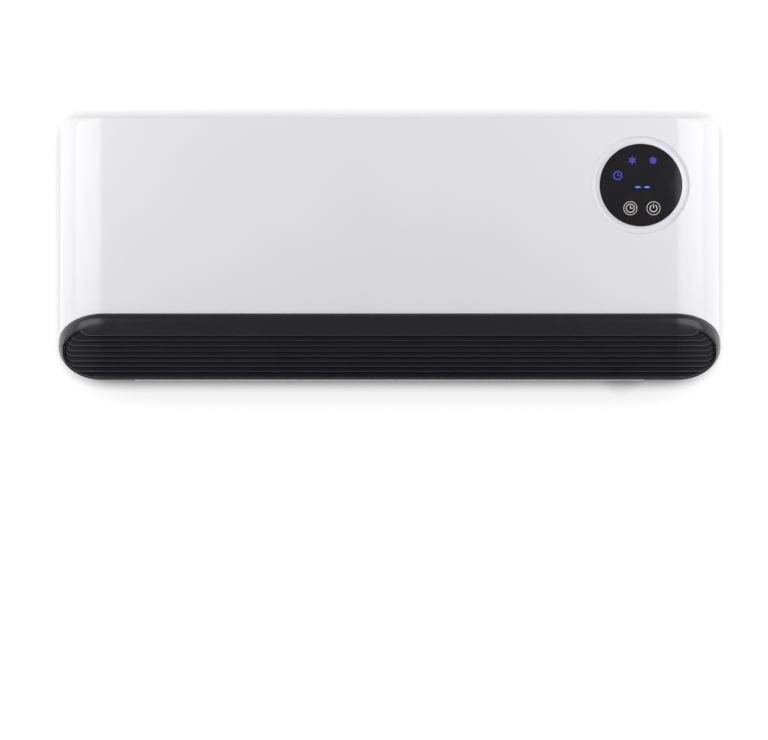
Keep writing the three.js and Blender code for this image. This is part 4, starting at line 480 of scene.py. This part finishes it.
def switch_dish():
    """The hollow of the dish: a round-cornered rectangle of y, z carried out along X, from a floor
    with a hollow fillet to a mouth that flares by a quarter round."""
    path, out = rectangle(*DISH, DISH_CORNER)
    a = np.linspace(0, np.pi / 2, 6)
    mouth = HALF_WIDTH - MOUTH_ROUND
    floor, flare = DISH_FLOOR + FLOOR_FILLET * (1 - np.cos(a)), mouth + MOUTH_ROUND * np.sin(a)
    x = np.concatenate([floor, flare, [HALF_WIDTH + CARVE_PAST]])
    grow = np.concatenate([FLOOR_FILLET * (np.sin(a) - 1), MOUTH_ROUND * (1 - np.cos(a)), [MOUTH_ROUND]])
    grid = swept(np.column_stack([grow, x]), path, out)[..., [2, 0, 1]]
    return grid, closed(*grid.shape[:2])


def grown(rectangle_sides, margin):
    """The four sides of a rectangle moved out by a margin."""
    return tuple(side + sign * margin for side, sign in zip(rectangle_sides, (-1, 1, -1, 1)))


pad = box_mesh(PAD_BACK, HALF_WIDTH - WALL / 2, *grown(DISH, PAD_MARGIN))
carve(shell, "UNION", mesh_of("switch_pad", pad))
carve(
    shell,
    "DIFFERENCE",
    mesh_of("foot", tube_mesh(grille_outline(GAP), *FOOT_CUT)),
    mesh_of("inlet", box_mesh(*INLET, *INLET_CUT)),
    mesh_of("display", display_bore(RING_RADIUS + RING_SEAM)),
    mesh_of("dish", switch_dish()),
    mesh_of("switch", box_mesh(*THROUGH_SIDE, *grown(DISH, -SWITCH_MARGIN))),
)

well_path, well_out = rectangle(*INLET, INLET_CORNER)
well_ledge = [(-3, WELL_FOOT), (-3, WELL_FOOT + 2), (-0.1, WELL_FOOT + 2), (0, WELL_FOOT + 2.2)]
well_rim = [(0, HEIGHT - 0.3), (0.3, HEIGHT), (2, HEIGHT - 1), (2, WELL_FOOT)]
well_profile = np.array(well_ledge + well_rim)
well = swept(well_profile, well_path, well_out)
closing = np.stack([well[-1], well[0]])
lip_turn = np.linspace(-np.pi / 2, np.pi / 2, 9)
half = LIP_THICKNESS / 2
lip_y = np.concatenate([[LIP_BACK], LIP_FRONT + half - half * np.cos(lip_turn), [LIP_BACK]])
lip_z = np.concatenate([[0], half + half * np.sin(lip_turn), [LIP_THICKNESS]])
lip_x = np.array([-LIP_HALF_WIDTH, LIP_HALF_WIDTH])
lip = np.stack([np.broadcast_to(v, (2, len(lip_y))) for v in (lip_x[:, None], lip_y, lip_z)], -1)
extras = mesh_of(
    "well_and_lip",
    (well, quads(*well.shape[:2], wrap=True)),
    (closing, quads(*closing.shape[:2], wrap=True)),
    (lip, closed(*lip.shape[:2])),
)
trim = piece_of("well_and_lip", extras, gloss_white)
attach(trim, "casing")

shell.data.shade_smooth()
shell.data.set_sharp_from_angle(angle=np.radians(24))
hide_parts("front_housing")
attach(shell, "casing")

# ---- Outlet grille --------------------------------------------------------------------------------
# One satin black moulding that wraps the casing's foot. A soft round shoulder runs along its top,
# its ends are half ovals round the corners, and its face falls back below the nose. Nine louvre
# slats with round front edges cross its opening, and their tips sweep up into the rim.
NOSE, NOSE_Z, FALL_BACK = 114.45, 44, 11.5
SHOULDER, SHOULDER_START, FOOT_ROUND, FOOT_ROUND_START = 5, 0.68, 4, 0.88
GRILLE_BACK, GRILLE_WALL, RETURN_DEPTH, SHELF = -58.3, 2.0, 12, 5
GRILLE_RADIUS = CORNER + GRILLE_PROUD
GRILLE_CORNER_Y = face_y(0) + CORNER
OPENING_FOOT, OPENING_TOP, OPENING_MIDDLE, OPENING_CREST = 3.3, 37.8, 23.3, 42.8
OPENING_END_X, OPENING_END, OPENING_TIP = 240, 28.4, 41.1
SWOOP_RISE, SWOOP_RUN, SWOOP_REACH, SWOOP_BACK, SWOOP_TURN = 3.6, 8, 1.15, 0.9, 0.5
EDGE_ROLL = 0.7
GAPS, TOP_SLAT = 8, 37.4
SLAT_RECESS, TOP_SLAT_RECESS = 0.9, 0.2
SLAT_HALF, SLAT_LEDGE, SLAT_DEPTH, SLAT_GAP, SLAT_BEND = 0.42, 0.55, 8.5, 0.4, 30
STIFFENER_X = np.array([-176, -88, 0, 88, 176])


def grille_y(x, z):
    """Depth of the grille's skin: the nose's depth carried round the corners as a quarter ellipse,
    drawn back by a quarter round where a place comes near the outline's edge."""
    across = np.clip((np.abs(x) - CORNER_X) / GRILLE_RADIUS, 0, 1)
    upper = z > FOOT_CURVE
    half = np.where(upper, GRILLE_TOP - FOOT_CURVE, FOOT_CURVE)
    from_edge = np.minimum(1, np.hypot(across, (z - FOOT_CURVE) / half))
    start = np.where(upper, SHOULDER_START, FOOT_ROUND_START)
    t = np.clip((from_edge - start) / (1 - start), 0, 1)
    drop = np.where(upper, SHOULDER, FOOT_ROUND) * (1 - np.sqrt(1 - t * t))
    below = np.clip((NOSE_Z - z) / NOSE_Z, 0, 1)
    depth = NOSE - FALL_BACK * below**1.8 + GRILLE_CORNER_Y
    return GRILLE_CORNER_Y - depth * np.sqrt(1 - across * across) + drop


def opening_end(z):
    """How far the opening reaches sideways at a height: an oval, squarer above its middle."""
    upper = z > OPENING_MIDDLE
    power = np.where(upper, 2.5, 2)
    half = np.where(upper, OPENING_CREST - OPENING_MIDDLE, OPENING_MIDDLE - OPENING_FOOT)
    share = np.minimum(1, np.abs(z - OPENING_MIDDLE) / half)
    return OPENING_END_X + OPENING_END * (1 - share**power) ** (1 / power)


def rim_outlines(flat=60, swoop=10, upper=26, lower=34):
    """Matching points of the opening's edge and the rim's outer edge, clockwise from the top's
    middle: straight top, the swoop of the top slat's tip, the oval end and the straight foot."""
    swoop_x = opening_end(TOP_SLAT + SWOOP_RISE) - SWOOP_RUN
    run = opening_end(OPENING_TIP) - swoop_x
    t = np.linspace(0, 1, flat)
    inner = [np.column_stack([swoop_x * t, np.full(flat, OPENING_TOP)])]
    outer = [np.column_stack([CORNER_X * t, np.full(flat, GRILLE_TOP)])]
    turn = np.linspace(0, SWOOP_TURN, swoop + 1)[1:]
    s = turn / turn[-1]
    inner.append(np.column_stack([swoop_x + run * s, OPENING_TOP + (OPENING_TIP - OPENING_TOP) * s**2]))
    outer.append(oval(turn, GRILLE_TOP - FOOT_CURVE))
    turn = np.linspace(SWOOP_TURN, np.pi / 2, upper + 1)[1:]
    s = (turn - SWOOP_TURN) / (np.pi / 2 - SWOOP_TURN)
    z = OPENING_MIDDLE + (OPENING_TIP - OPENING_MIDDLE) * np.cos(s * np.pi / 2)
    inner.append(np.column_stack([opening_end(z), z]))
    outer.append(oval(turn, GRILLE_TOP - FOOT_CURVE))
    turn = np.linspace(np.pi / 2, np.pi, lower + 1)[1:]
    z = OPENING_MIDDLE - (OPENING_MIDDLE - OPENING_FOOT) * np.sin(turn - np.pi / 2)
    inner.append(np.column_stack([opening_end(z), z]))
    outer.append(oval(turn, FOOT_CURVE))
    t = np.linspace(1, 0, flat)[1:]
    inner.append(np.column_stack([OPENING_END_X * t, np.full(flat - 1, OPENING_FOOT)]))
    outer.append(np.column_stack([CORNER_X * t, np.zeros(flat - 1)]))
    inner, outer = np.vstack(inner), np.vstack(outer)
    mirror = (-1, 1)
    return np.vstack([inner, inner[-2:0:-1] * mirror]), np.vstack([outer, outer[-2:0:-1] * mirror])


def oval(turn, height):
    """Quarter of the outer edge, turn radians on from its crest."""
    return np.column_stack([CORNER_X + GRILLE_RADIUS * np.sin(turn), FOOT_CURVE + height * np.cos(turn)])


def rim_skin():
    """Rows from the back of the opening's wall, over its rolled edge, across the face by a sine
    spacing to the outer edge, and back along the sides."""
    inner, outer = rim_outlines()
    ahead, behind = np.roll(inner, -1, 0), np.roll(inner, 1, 0)
    along = ahead - behind
    away = np.column_stack([-along[:, 1], along[:, 0]])
    away /= np.linalg.norm(away, axis=1)[:, None]
    lip_gap = np.abs(outer[:, 0]) < LIP_HALF_WIDTH + GAP
    outer[:, 1] = np.where(lip_gap & (outer[:, 1] < 1), LIP_THICKNESS + GAP, outer[:, 1])
    start = inner + away * EDGE_ROLL
    start_y = grille_y(start[:, 0], start[:, 1])
    rows = []
    for back in (RETURN_DEPTH, RETURN_DEPTH / 2, EDGE_ROLL + 0.6):
        rows.append(np.column_stack([inner[:, 0], start_y + back, inner[:, 1]]))
    for angle in np.linspace(np.pi / 2, 0, 6):
        spot = inner + away * EDGE_ROLL * (1 - np.sin(angle))
        rows.append(np.column_stack([spot[:, 0], start_y + EDGE_ROLL * (1 - np.cos(angle)), spot[:, 1]]))
    for s in np.sin(np.linspace(0, np.pi / 2, 24))[1:]:
        spot = start + (outer - start) * s
        rows.append(np.column_stack([spot[:, 0], grille_y(spot[:, 0], spot[:, 1]), spot[:, 1]]))
    edge_y = rows[-1][:, 1]
    on_top = (np.abs(outer[:, 0]) < CORNER_X - 0.5) & (outer[:, 1] > FOOT_CURVE)
    back = np.where(on_top, edge_y + SHELF, GRILLE_BACK)
    for s in (0.04, 0.3, 0.65, 1):
        rows.append(np.column_stack([outer[:, 0], edge_y + (back - edge_y) * s, outer[:, 1]]))
    return np.stack(rows)


def slat_line(height, recess):
    """The line of a slat's front edge: level along the grille's face, and at its tips it rises and
    falls back by the square of its way along the swoop."""
    tip_x = opening_end(height + SWOOP_RISE)
    swoop_x = tip_x - SWOOP_RUN
    right = np.concatenate([np.linspace(0, CORNER_X, 16)[:-1], np.linspace(CORNER_X, swoop_x, 10)[:-1],
                            swoop_x + SWOOP_RUN * np.linspace(0, SWOOP_REACH, 14)])
    x = np.concatenate([-right[:0:-1], right])
    share = np.clip((np.abs(x) - swoop_x) / SWOOP_RUN, 0, None)
    rise = SWOOP_RISE * share**2
    return x, grille_y(x, height + rise) + recess + SWOOP_BACK * share**2, height + rise


def along_slat(line, back, up):
    """A closed section of back and up values carried along a slat's line."""
    x, y, z = line
    across = np.broadcast_to(x[:, None], (len(x), len(back)))
    grid = np.stack([across, y[:, None] + back, z[:, None] + up], -1)
    return grid, closed(*grid.shape[:2])


def slat_edge(line):
    """A slat's round front edge, a rod as thick as the slat."""
    a = np.linspace(0, 2 * np.pi, 12, endpoint=False)
    return along_slat(line, SLAT_HALF * (1 + np.cos(a)), SLAT_HALF * np.sin(a))


def slat_body(line, above):
    """A slat behind its edge. It starts level, and past its ledge it rises towards the back by
    rise (1 - (1 - way)^SLAT_BEND), where way runs from 0 at the ledge to 1 at the back, and the rise
    ends SLAT_GAP under the line of the slat above, also where that one swoops up."""
    x, _, z = line
    way = np.linspace(0, 1, 10) ** 2
    back = np.concatenate([[SLAT_HALF], SLAT_LEDGE + (SLAT_DEPTH - SLAT_LEDGE) * way])
    rise = np.interp(x, above[0], above[2]) - z - SLAT_GAP
    lift = rise[:, None] * np.concatenate([[0], 1 - (1 - way) ** SLAT_BEND])
    section = np.concatenate([lift + SLAT_HALF * 0.9, lift[:, ::-1] - SLAT_HALF * 0.9], axis=1)
    return along_slat(line, np.concatenate([back, back[::-1]]), section)


def stiffener(x, half=0.9, steps=14):
    """An upright bar behind the slats' edges that ties them together."""
    z = np.linspace(OPENING_FOOT - 1, OPENING_TOP + 1, steps)
    skin_y = grille_y(x, z)
    front, back = skin_y + SLAT_RECESS + SLAT_DEPTH * 0.55, skin_y + RETURN_DEPTH - 0.5
    loop = [(x - half, front), (x + half, front), (x + half, back), (x - half, back)]
    grid = np.stack([np.column_stack([np.full(steps, u), v, z]) for u, v in loop], 1)
    return grid, closed(steps, 4)


def black_plastic(name, colour, smoothest, roughest, specular):
    """Black glass-filled plastic: its tone drifts by a twelfth over 30 mm, its sheen lies between two
    roughnesses, and a fine erosion half a millimetre across breaks up what it mirrors."""
    material, tree, shader, place = surface(name, Specular_IOR_Level=specular)
    tone = noise(tree, place, 30, 3)
    low, high = (tuple(np.array(colour) * share) for share in (0.92, 1.08))
    tree.links.new(shades(tree, tone, low, high), shader.inputs["Base Color"])
    wipe = noise(tree, place, 70, 4)
    tree.links.new(spread(tree, wipe, smoothest, roughest), shader.inputs["Roughness"])
    erosion = noise(tree, place, 2200, 2)
    relief(tree, shader, erosion, 1e-5)
    return material


satin_black = black_plastic("satin_black", (0.0066, 0.0058, 0.0102), 0.24, 0.28, 0.5)
# The slats are the rim's black plastic, but their bodies and round edges get a base colour about 1.7 times
# the rim's, a painted light that lifts the shaded gaps between the slats and brightens their edge lines; the
# edges are glossier too.
louvre_black_painted_light = black_plastic("louvre_black_painted_light", (0.0112, 0.0103, 0.0150), 0.55, 0.6, 0.1)
edge_black_painted_light = black_plastic("edge_black_painted_light", (0.0115, 0.0106, 0.0154), 0.3, 0.35, 0.65)

rim = rim_skin()
rim_mesh = mesh_of("outlet_rim", (rim, quads(*rim.shape[:2], wrap=True)))
grille = piece_of("outlet_rim", rim_mesh, satin_black, 50)
wall = grille.modifiers.new("Wall", "SOLIDIFY")
wall.thickness, wall.offset = GRILLE_WALL / 1000, -1
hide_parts("outlet_grille")
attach(grille, "casing")

pitch = (TOP_SLAT - OPENING_FOOT) / GAPS
lines = [slat_line(TOP_SLAT - i * pitch, SLAT_RECESS if i else TOP_SLAT_RECESS) for i in range(GAPS + 1)]
over_top = (lines[0][0], lines[0][1], lines[0][2] + pitch)
bodies = [slat_body(line, above) for line, above in zip(lines, [over_top, *lines])]
bars = [stiffener(x) for x in STIFFENER_X]
# The slat bodies and edges take the lightened blacks: painted light over the shaded gaps and along the edges.
louvres = piece_of("outlet_louvres", mesh_of("outlet_louvres", *bodies, *bars), louvre_black_painted_light, 50)
edge_mesh = mesh_of("louvre_edges", *(slat_edge(line) for line in lines))
edges = piece_of("louvre_edges", edge_mesh, edge_black_painted_light, 50)
for piece in (louvres, edges):
    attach(piece, "casing")

# ---- Air inlet ------------------------------------------------------------------------------------
# The lift-out grille in the top, white ABS with four columns of slots and a finger notch, and the
# filter that hangs under it: a fine nylon net in a ribbed frame.
rounded_copy("inlet_grille", "inlet_cover", satin_white, edge=0.5)
net, tree, shader, place = surface("filter_net", Roughness=0.9)
crossed = add(tree, "ShaderNodeMapping", Vector=place, Scale=(1, 1, 0.001)).outputs["Vector"]
weave = add(tree, "ShaderNodeMath", operation="MAXIMUM")
for socket, way in zip(weave.inputs, "XY"):
    threads = add(tree, "ShaderNodeTexWave", Vector=crossed, Scale=270, bands_direction=way)
    tree.links.new(threads.outputs["Fac"], socket)
woven = weave.outputs["Value"]
nylon = shades(tree, woven, (0.09, 0.095, 0.1), (0.27, 0.28, 0.3), 0.55, 0.95)
tree.links.new(nylon, shader.inputs["Base Color"])
relief(tree, shader, woven, 1.5e-4)
finish(net, "inlet_filter")

# ---- Display ring ---------------------------------------------------------------------------------
# A white ring with a hollow groove round the glass, moulded in the same white as the housing. It
# follows the housing's face, and so dips where the face turns into the right-hand corner.
LENS_RADIUS, LENS_BELOW, GROOVE, GROOVE_MARGIN = 33.9, 0.3, 2.1, 0.25
RING_LEDGE, RING_STEP, RING_SKIRT, RING_BACK, RING_WALL = 2, 2.6, 7.9, 4.4, 3.2


def corner_fall(x):
    """How far the housing's face lies behind its flat part at a distance from the middle."""
    over = np.clip(x - CORNER_X, 0, CORNER)
    return CORNER - np.sqrt(CORNER**2 - over**2)


def display_ring(steps=144):
    """A closed profile turned about the display's axis, whose upper part follows the corner's fall
    by a share that grows from the bore to the outer edge."""
    bore = LENS_RADIUS + GAP
    a = np.linspace(0, np.pi, 22)
    middle, half = (bore + RING_RADIUS) / 2, (RING_RADIUS - bore) / 2 - GROOVE_MARGIN
    groove_r = middle - half * np.cos(a)
    groove_h = -LENS_BELOW * (1 - a / np.pi) - GROOVE * np.sin(a) ** 1.3
    inside, outside = bore - RING_LEDGE, [RING_RADIUS, RING_RADIUS, RING_RADIUS - RING_WALL]
    r = np.concatenate([[inside, bore, bore], groove_r, outside, [inside]])
    below = [-RING_SEAM, -RING_SKIRT, -RING_SKIRT, -RING_BACK]
    h = np.concatenate([[-RING_STEP, -RING_STEP, -LENS_BELOW], groove_h, below])
    follows = np.zeros(len(r))
    follows[2:-3] = np.clip((r[2:-3] - bore) / (RING_RADIUS - bore), 0, 1)
    turn = np.linspace(0, 2 * np.pi, steps, endpoint=False)[:, None]
    x, up = r * np.cos(turn), r * np.sin(turn)
    fall = corner_fall(LENS_X + x) * follows
    grid = on_display(x, up, h - fall)
    return np.concatenate([grid, grid[:, :1]], 1).transpose(1, 0, 2)


ring_grid = display_ring()
ring_mesh = mesh_of("display_ring", (ring_grid, quads(*ring_grid.shape[:2], wrap=True)))
ring = piece_of("display_ring", ring_mesh, gloss_white, 50)
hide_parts("display_bezel")
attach(ring, "casing")

# ---- Display glass --------------------------------------------------------------------------------
# A round pane of black acrylic with a fine ground edge. The signs are printed behind it: four lit
# blue ones and two cream touch keys whose print glows as well, a painted light.
SIGN_OUT, LENS_THICKNESS = 0.02 - LENS_BELOW, 2


def turned_plate(radius, top, bottom, round_edge, steps=128):
    """A disc whose upper edge is a quarter round."""
    a = np.linspace(np.pi / 2, 0, 6)
    r = np.concatenate([radius - round_edge + round_edge * np.cos(a), [radius]])
    h = np.concatenate([top - round_edge + round_edge * np.sin(a), [bottom]])
    turn = np.linspace(0, 2 * np.pi, steps, endpoint=False)
    grid = on_display(r[:, None] * np.cos(turn), r[:, None] * np.sin(turn), h[:, None])
    return grid, closed(len(r), steps)


black_glass, tree, shader, place = surface("black_acrylic", Specular_IOR_Level=0.3)
depths = noise(tree, place, 45, 2)
smoke = shades(tree, depths, (0.0085, 0.0082, 0.0105), (0.0105, 0.0102, 0.0130))
tree.links.new(smoke, shader.inputs["Base Color"])
smear = noise(tree, place, 120, 4)
tree.links.new(spread(tree, smear, 0.06, 0.12), shader.inputs["Roughness"])
ripple = noise(tree, place, 60, 1)
relief(tree, shader, ripple, 4e-6)
pane = turned_plate(LENS_RADIUS, -LENS_BELOW, -LENS_BELOW - LENS_THICKNESS, round_edge=0.35)
glass = piece_of("display_glass", mesh_of("display_glass", pane), black_glass, 30)
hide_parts("display_lens")
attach(glass, "casing")


def sign(x, up, radius_in, radius_out, turn):
    """A flat band between two radii, each one number or one for every angle."""
    inner, outer = (np.broadcast_to(r, turn.shape) for r in (radius_in, radius_out))
    edges = [on_display(x + r * np.cos(turn), up + r * np.sin(turn), SIGN_OUT) for r in (inner, outer)]
    return np.stack(edges), quads(2, len(turn))


def stroke(x, up, x1, up1, width):
    """A straight stroke with square ends."""
    along = np.array([x1 - x, up1 - up]) / np.hypot(x1 - x, up1 - up)
    side = np.array([-along[1], along[0]]) * width / 2
    spots = np.array([[x, up] + side, [x1, up1] + side, [x, up] - side, [x1, up1] - side])
    return on_display(spots[:, 0], spots[:, 1], SIGN_OUT).reshape(2, 2, 3), quads(2, 2)


def hands(x, up, tall, wide, width):
    """An upright and a level stroke through a middle, each from one distance to another."""
    upright = stroke(x, up + tall[0], x, up + tall[1], width)
    return [upright, stroke(x + wide[0], up, x + wide[1], up, width)]


def lit(name, colour, strength, variation=0.25):
    """A printed sign lit from behind, a little uneven as behind a real diffuser. Its ink is darker
    than its light."""
    material, tree, shader, place = surface(name, Roughness=0.4, Emission_Strength=strength)
    uneven = noise(tree, place, 500, 2)
    for socket, share in (("Emission Color", 1), ("Base Color", 0.3)):
        low, high = (tuple(np.array(colour) * share * s) for s in (1 - variation, 1))
        tree.links.new(shades(tree, uneven, low, high), shader.inputs[socket])
    return material


# The middles of the signs on the glass in x and up, and the inner and outer radius of a key's ring.
STAR, SUN, CLOCK, DASHES = (-7.1, 20.4), (10, 20.4), (-19.1, 7.9), ((-2.5, -1.7), (5.0, -1.7))
TIMER_KEY, POWER_KEY, KEY_RING = (-8.7, -19.1), (10.4, -19.1), (5.15, 5.7)
circle = np.linspace(0, 2 * np.pi, 97)
six_points = 1.5 + 1.9 * np.abs(np.cos(3 * circle + np.pi / 2)) ** 1.6
ten_rays = 2.75 + 0.6 * np.cos(10 * circle)
cool_and_warm = [sign(*STAR, 0, six_points, circle), sign(*SUN, 0, ten_rays, circle)]
clock = [sign(*CLOCK, 2.7, 3.95, circle), *hands(*CLOCK, (-0.4, 2.3), (-0.4, 2.3), 0.9)]
blue = lit("blue_sign", (0.055, 0.050, 0.46), 0.75)
signs = piece_of("signs_blue", mesh_of("signs_blue", *cool_and_warm, *clock), blue)
pointed = (np.abs(np.cos(circle) / 2.6) ** 1.3 + np.abs(np.sin(circle) / 0.85) ** 1.3) ** (-1 / 1.3)
dashes = [sign(*place, 0, pointed, circle) for place in DASHES]
bright_blue = lit("bright_blue_sign", (0.06, 0.26, 0.95), 0.95, 0.1)
digits = piece_of("signs_digits", mesh_of("signs_digits", *dashes), bright_blue)
gap_turn = np.linspace(np.pi / 2 + 0.6, 5 * np.pi / 2 - 0.6, 65)
timer = [sign(*TIMER_KEY, 3.0, 3.75, circle), *hands(*TIMER_KEY, (-0.3, 2.2), (-0.4, 2.1), 0.8)]
x, up = POWER_KEY
power = [sign(x, up, 2.5, 3.3, gap_turn), stroke(x, up + 0.2, x, up + 3.7, 0.8)]
key_rings = [sign(*key, *KEY_RING, circle) for key in (TIMER_KEY, POWER_KEY)]
keys = [*key_rings, *timer, *power]
# The touch keys' ink is darkened to three tenths and an even glow gives back the rest of their brightness, a
# painted light in place of the light their print would reflect.
cream = lit("cream_print_painted_glow", (0.62, 0.56, 0.53), 0.68, 0.08)
printed = piece_of("signs_keys", mesh_of("signs_keys", *keys), cream)
for piece in (signs, digits, printed):
    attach(piece, "casing")

# ---- Main switch ----------------------------------------------------------------------------------
# A black rocker switch in the right-hand side. Its frame snaps into the wall, and the polished
# rocker tilts in it.
rounded_copy("main_switch_body", "casing", matt_black, edge=0.35)
rocker_black = moulded("rocker_black", (0.009, 0.009, 0.010), 0.22, grain=0.6, depth=4e-6, mottle=0.1)
rounded_copy("main_switch_rocker", "switch_rocker", rocker_black, edge=0.4)

# ---- Wall -----------------------------------------------------------------------------------------
# The pale wall that the heater hangs on. It glows to white by itself away from the heater. Near the
# heater that glow is turned down by how closely the heater hems it in, a painted shadow, and turned
# down further under the heater's foot, so the painted shadow is darkest underneath. Its own dim grey
# takes the lamps' real shadow as well. From behind it isn't there, so that the heater's back shows.
WALL_GLOW, GLOW_BESIDE, GLOW_UNDER = 0.88, 0.46, 0.0
PAINTED_CONTACT_REACH, PAINTED_SHADOW_REACH, PAINTED_CONTACT_SHARE = 0.014, 0.040, 0.72
PAINTED_CONTACT_FULL, PAINTED_SHADOW_FULL, PAINTED_SHADOW_FADE = 0.62, 0.5, 0.03
WALL_SIDE, WALL_RISE, WALL_BEHIND = 6000, 4000, 0.6
room, tree, shader, place = surface("room_wall", Roughness=0.9, Specular_IOR_Level=0.0)
plaster = noise(tree, place, 3, 2)
tree.links.new(shades(tree, plaster, (0.25, 0.25, 0.25), (0.255, 0.255, 0.255)), shader.inputs["Base Color"])
painted_shadow_levels = []
# Ambient occlusion over a short and a longer reach turns the glow down near the heater: a tight painted
# shadow and a wider painted shadow, mixed by a share.
for reach, full in ((PAINTED_CONTACT_REACH, PAINTED_CONTACT_FULL), (PAINTED_SHADOW_REACH, PAINTED_SHADOW_FULL)):
    closeness = add(tree, "ShaderNodeAmbientOcclusion", samples=12, Distance=reach).outputs["AO"]
    painted_shadow_levels.append(spread(tree, closeness, 0, 1, full, 1))
painted_contact_shadow, painted_wide_shadow = painted_shadow_levels
painted_shadow_mix = add(tree, "ShaderNodeMix", Factor=PAINTED_CONTACT_SHARE, A=painted_wide_shadow, B=painted_contact_shadow).outputs["Result"]
# Below the heater's foot the glow may fall from GLOW_BESIDE to GLOW_UNDER, fading in over three centimetres,
# so the painted shadow is darkest under the heater.
height = add(tree, "ShaderNodeSeparateXYZ", Vector=place).outputs["Z"]
foot = -HANG / 1000
painted_shadow_floor = spread(tree, height, GLOW_UNDER, GLOW_BESIDE, foot, foot + PAINTED_SHADOW_FADE)
glow = add(tree, "ShaderNodeMapRange", Value=painted_shadow_mix, To_Min=painted_shadow_floor, To_Max=WALL_GLOW)
shader.inputs["Emission Color"].default_value = (1, 1, 1, 1)
tree.links.new(glow.outputs["Result"], shader.inputs["Emission Strength"])
clear = add(tree, "ShaderNodeBsdfTransparent")
from_behind = add(tree, "ShaderNodeNewGeometry").outputs["Backfacing"]
sides = add(tree, "ShaderNodeMixShader", Fac=from_behind)
tree.links.new(shader.outputs["BSDF"], sides.inputs[1])
tree.links.new(clear.outputs["BSDF"], sides.inputs[2])
tree.links.new(sides.outputs["Shader"], tree.nodes["Material Output"].inputs["Surface"])
quarters = ((-1, -1), (1, -1), (1, 1), (-1, 1))
corners = [(side * WALL_SIDE, WALL_BEHIND, rise * WALL_RISE) for side, rise in quarters]
wall_mesh = mesh_of("room_wall", (corners, [(0, 1, 2, 3)]))
wall_mesh.materials.append(room)
wall_piece = bpy.data.objects.new("room_wall", wall_mesh)
bpy.context.scene.collection.objects.link(wall_piece)

# ---- Light and camera -----------------------------------------------------------------------------
# Two broad soft boxes stand on either side of the view, from the heater's level upwards, so that
# they show in the round corners and on the grille's shoulder, and not in the flat front. The room in
# front is dim, with a pale floor, and what lies behind the heater is white.
ROOM_FRONT, ROOM_LOW = 0.38, 0.8
BOX_ASIDE, BOX_AHEAD, BOX_LEVEL, BOX_AIM = 0.755, 0.495, 0.2, 0.448
BOX_WIDTH, BOX_HEIGHT, BOX_WATTS = 0.93, 0.54, 4.05
world = bpy.data.worlds.new("room")
world.use_nodes = True
bpy.context.scene.world = world
tree = world.node_tree
ground = tree.nodes["Background"]
rays = add(tree, "ShaderNodeLightPath").outputs
direction = add(tree, "ShaderNodeTexCoord").outputs["Generated"]
aim = add(tree, "ShaderNodeSeparateXYZ", Vector=direction).outputs
behind = spread(tree, aim["Y"], 0, 1, -0.1, 0.2)
dim = spread(tree, aim["Z"], ROOM_LOW, ROOM_FRONT, -0.6, -0.25)


def combined(tree, operation, first, second):
    """Two values added or multiplied and kept between 0 and 1."""
    node = add(tree, "ShaderNodeMath", operation=operation, use_clamp=True)
    tree.links.new(first, node.inputs[0])
    tree.links.new(second, node.inputs[1])
    return node.outputs["Value"]


mirrored = combined(tree, "ADD", rays["Is Glossy Ray"], rays["Is Transmission Ray"])
white = combined(tree, "ADD", rays["Is Camera Ray"], combined(tree, "MULTIPLY", mirrored, behind))
strength = add(tree, "ShaderNodeMapRange", Value=white, To_Min=dim, To_Max=1.0)
tree.links.new(strength.outputs["Result"], ground.inputs["Strength"])
ground.inputs["Color"].default_value = (1, 1, 1, 1)


def soft_box(name, place, width, height, watts, target):
    """A rectangular area lamp that faces a target and that the camera can't see."""
    lamp = bpy.data.lights.new(name, "AREA")
    lamp.shape, lamp.size, lamp.size_y, lamp.energy = "RECTANGLE", width, height, watts
    lamp.color = (1, 0.995, 1)
    box = bpy.data.objects.new(name, lamp)
    box.location = place
    box.rotation_euler = (Vector(place) - Vector(target)).to_track_quat("Z", "Y").to_euler()
    box.visible_camera = False
    bpy.context.scene.collection.objects.link(box)


for name, side in (("left", -1), ("right", 1)):
    stand, aim_at = (side * BOX_ASIDE, -BOX_AHEAD, BOX_LEVEL), (side * BOX_AIM, 0, BOX_LEVEL)
    soft_box(f"broad_{name}", stand, BOX_WIDTH, BOX_HEIGHT, BOX_WATTS, aim_at)

CAMERA_PLACE, CAMERA_TILT, LENS_LENGTH, SENSOR = (-0.0046, -5.11, -0.039), 1.17, 284.4, 36
camera = bpy.data.cameras.new("camera")
camera.lens, camera.sensor_width = LENS_LENGTH, SENSOR
camera_at = bpy.data.objects.new("camera", camera)
camera_at.location = CAMERA_PLACE
camera_at.rotation_euler = (np.radians(90 - CAMERA_TILT), 0, 0)
bpy.context.scene.collection.objects.link(camera_at)
bpy.context.scene.camera = camera_at
bpy.context.scene.view_settings.view_transform = "Standard"
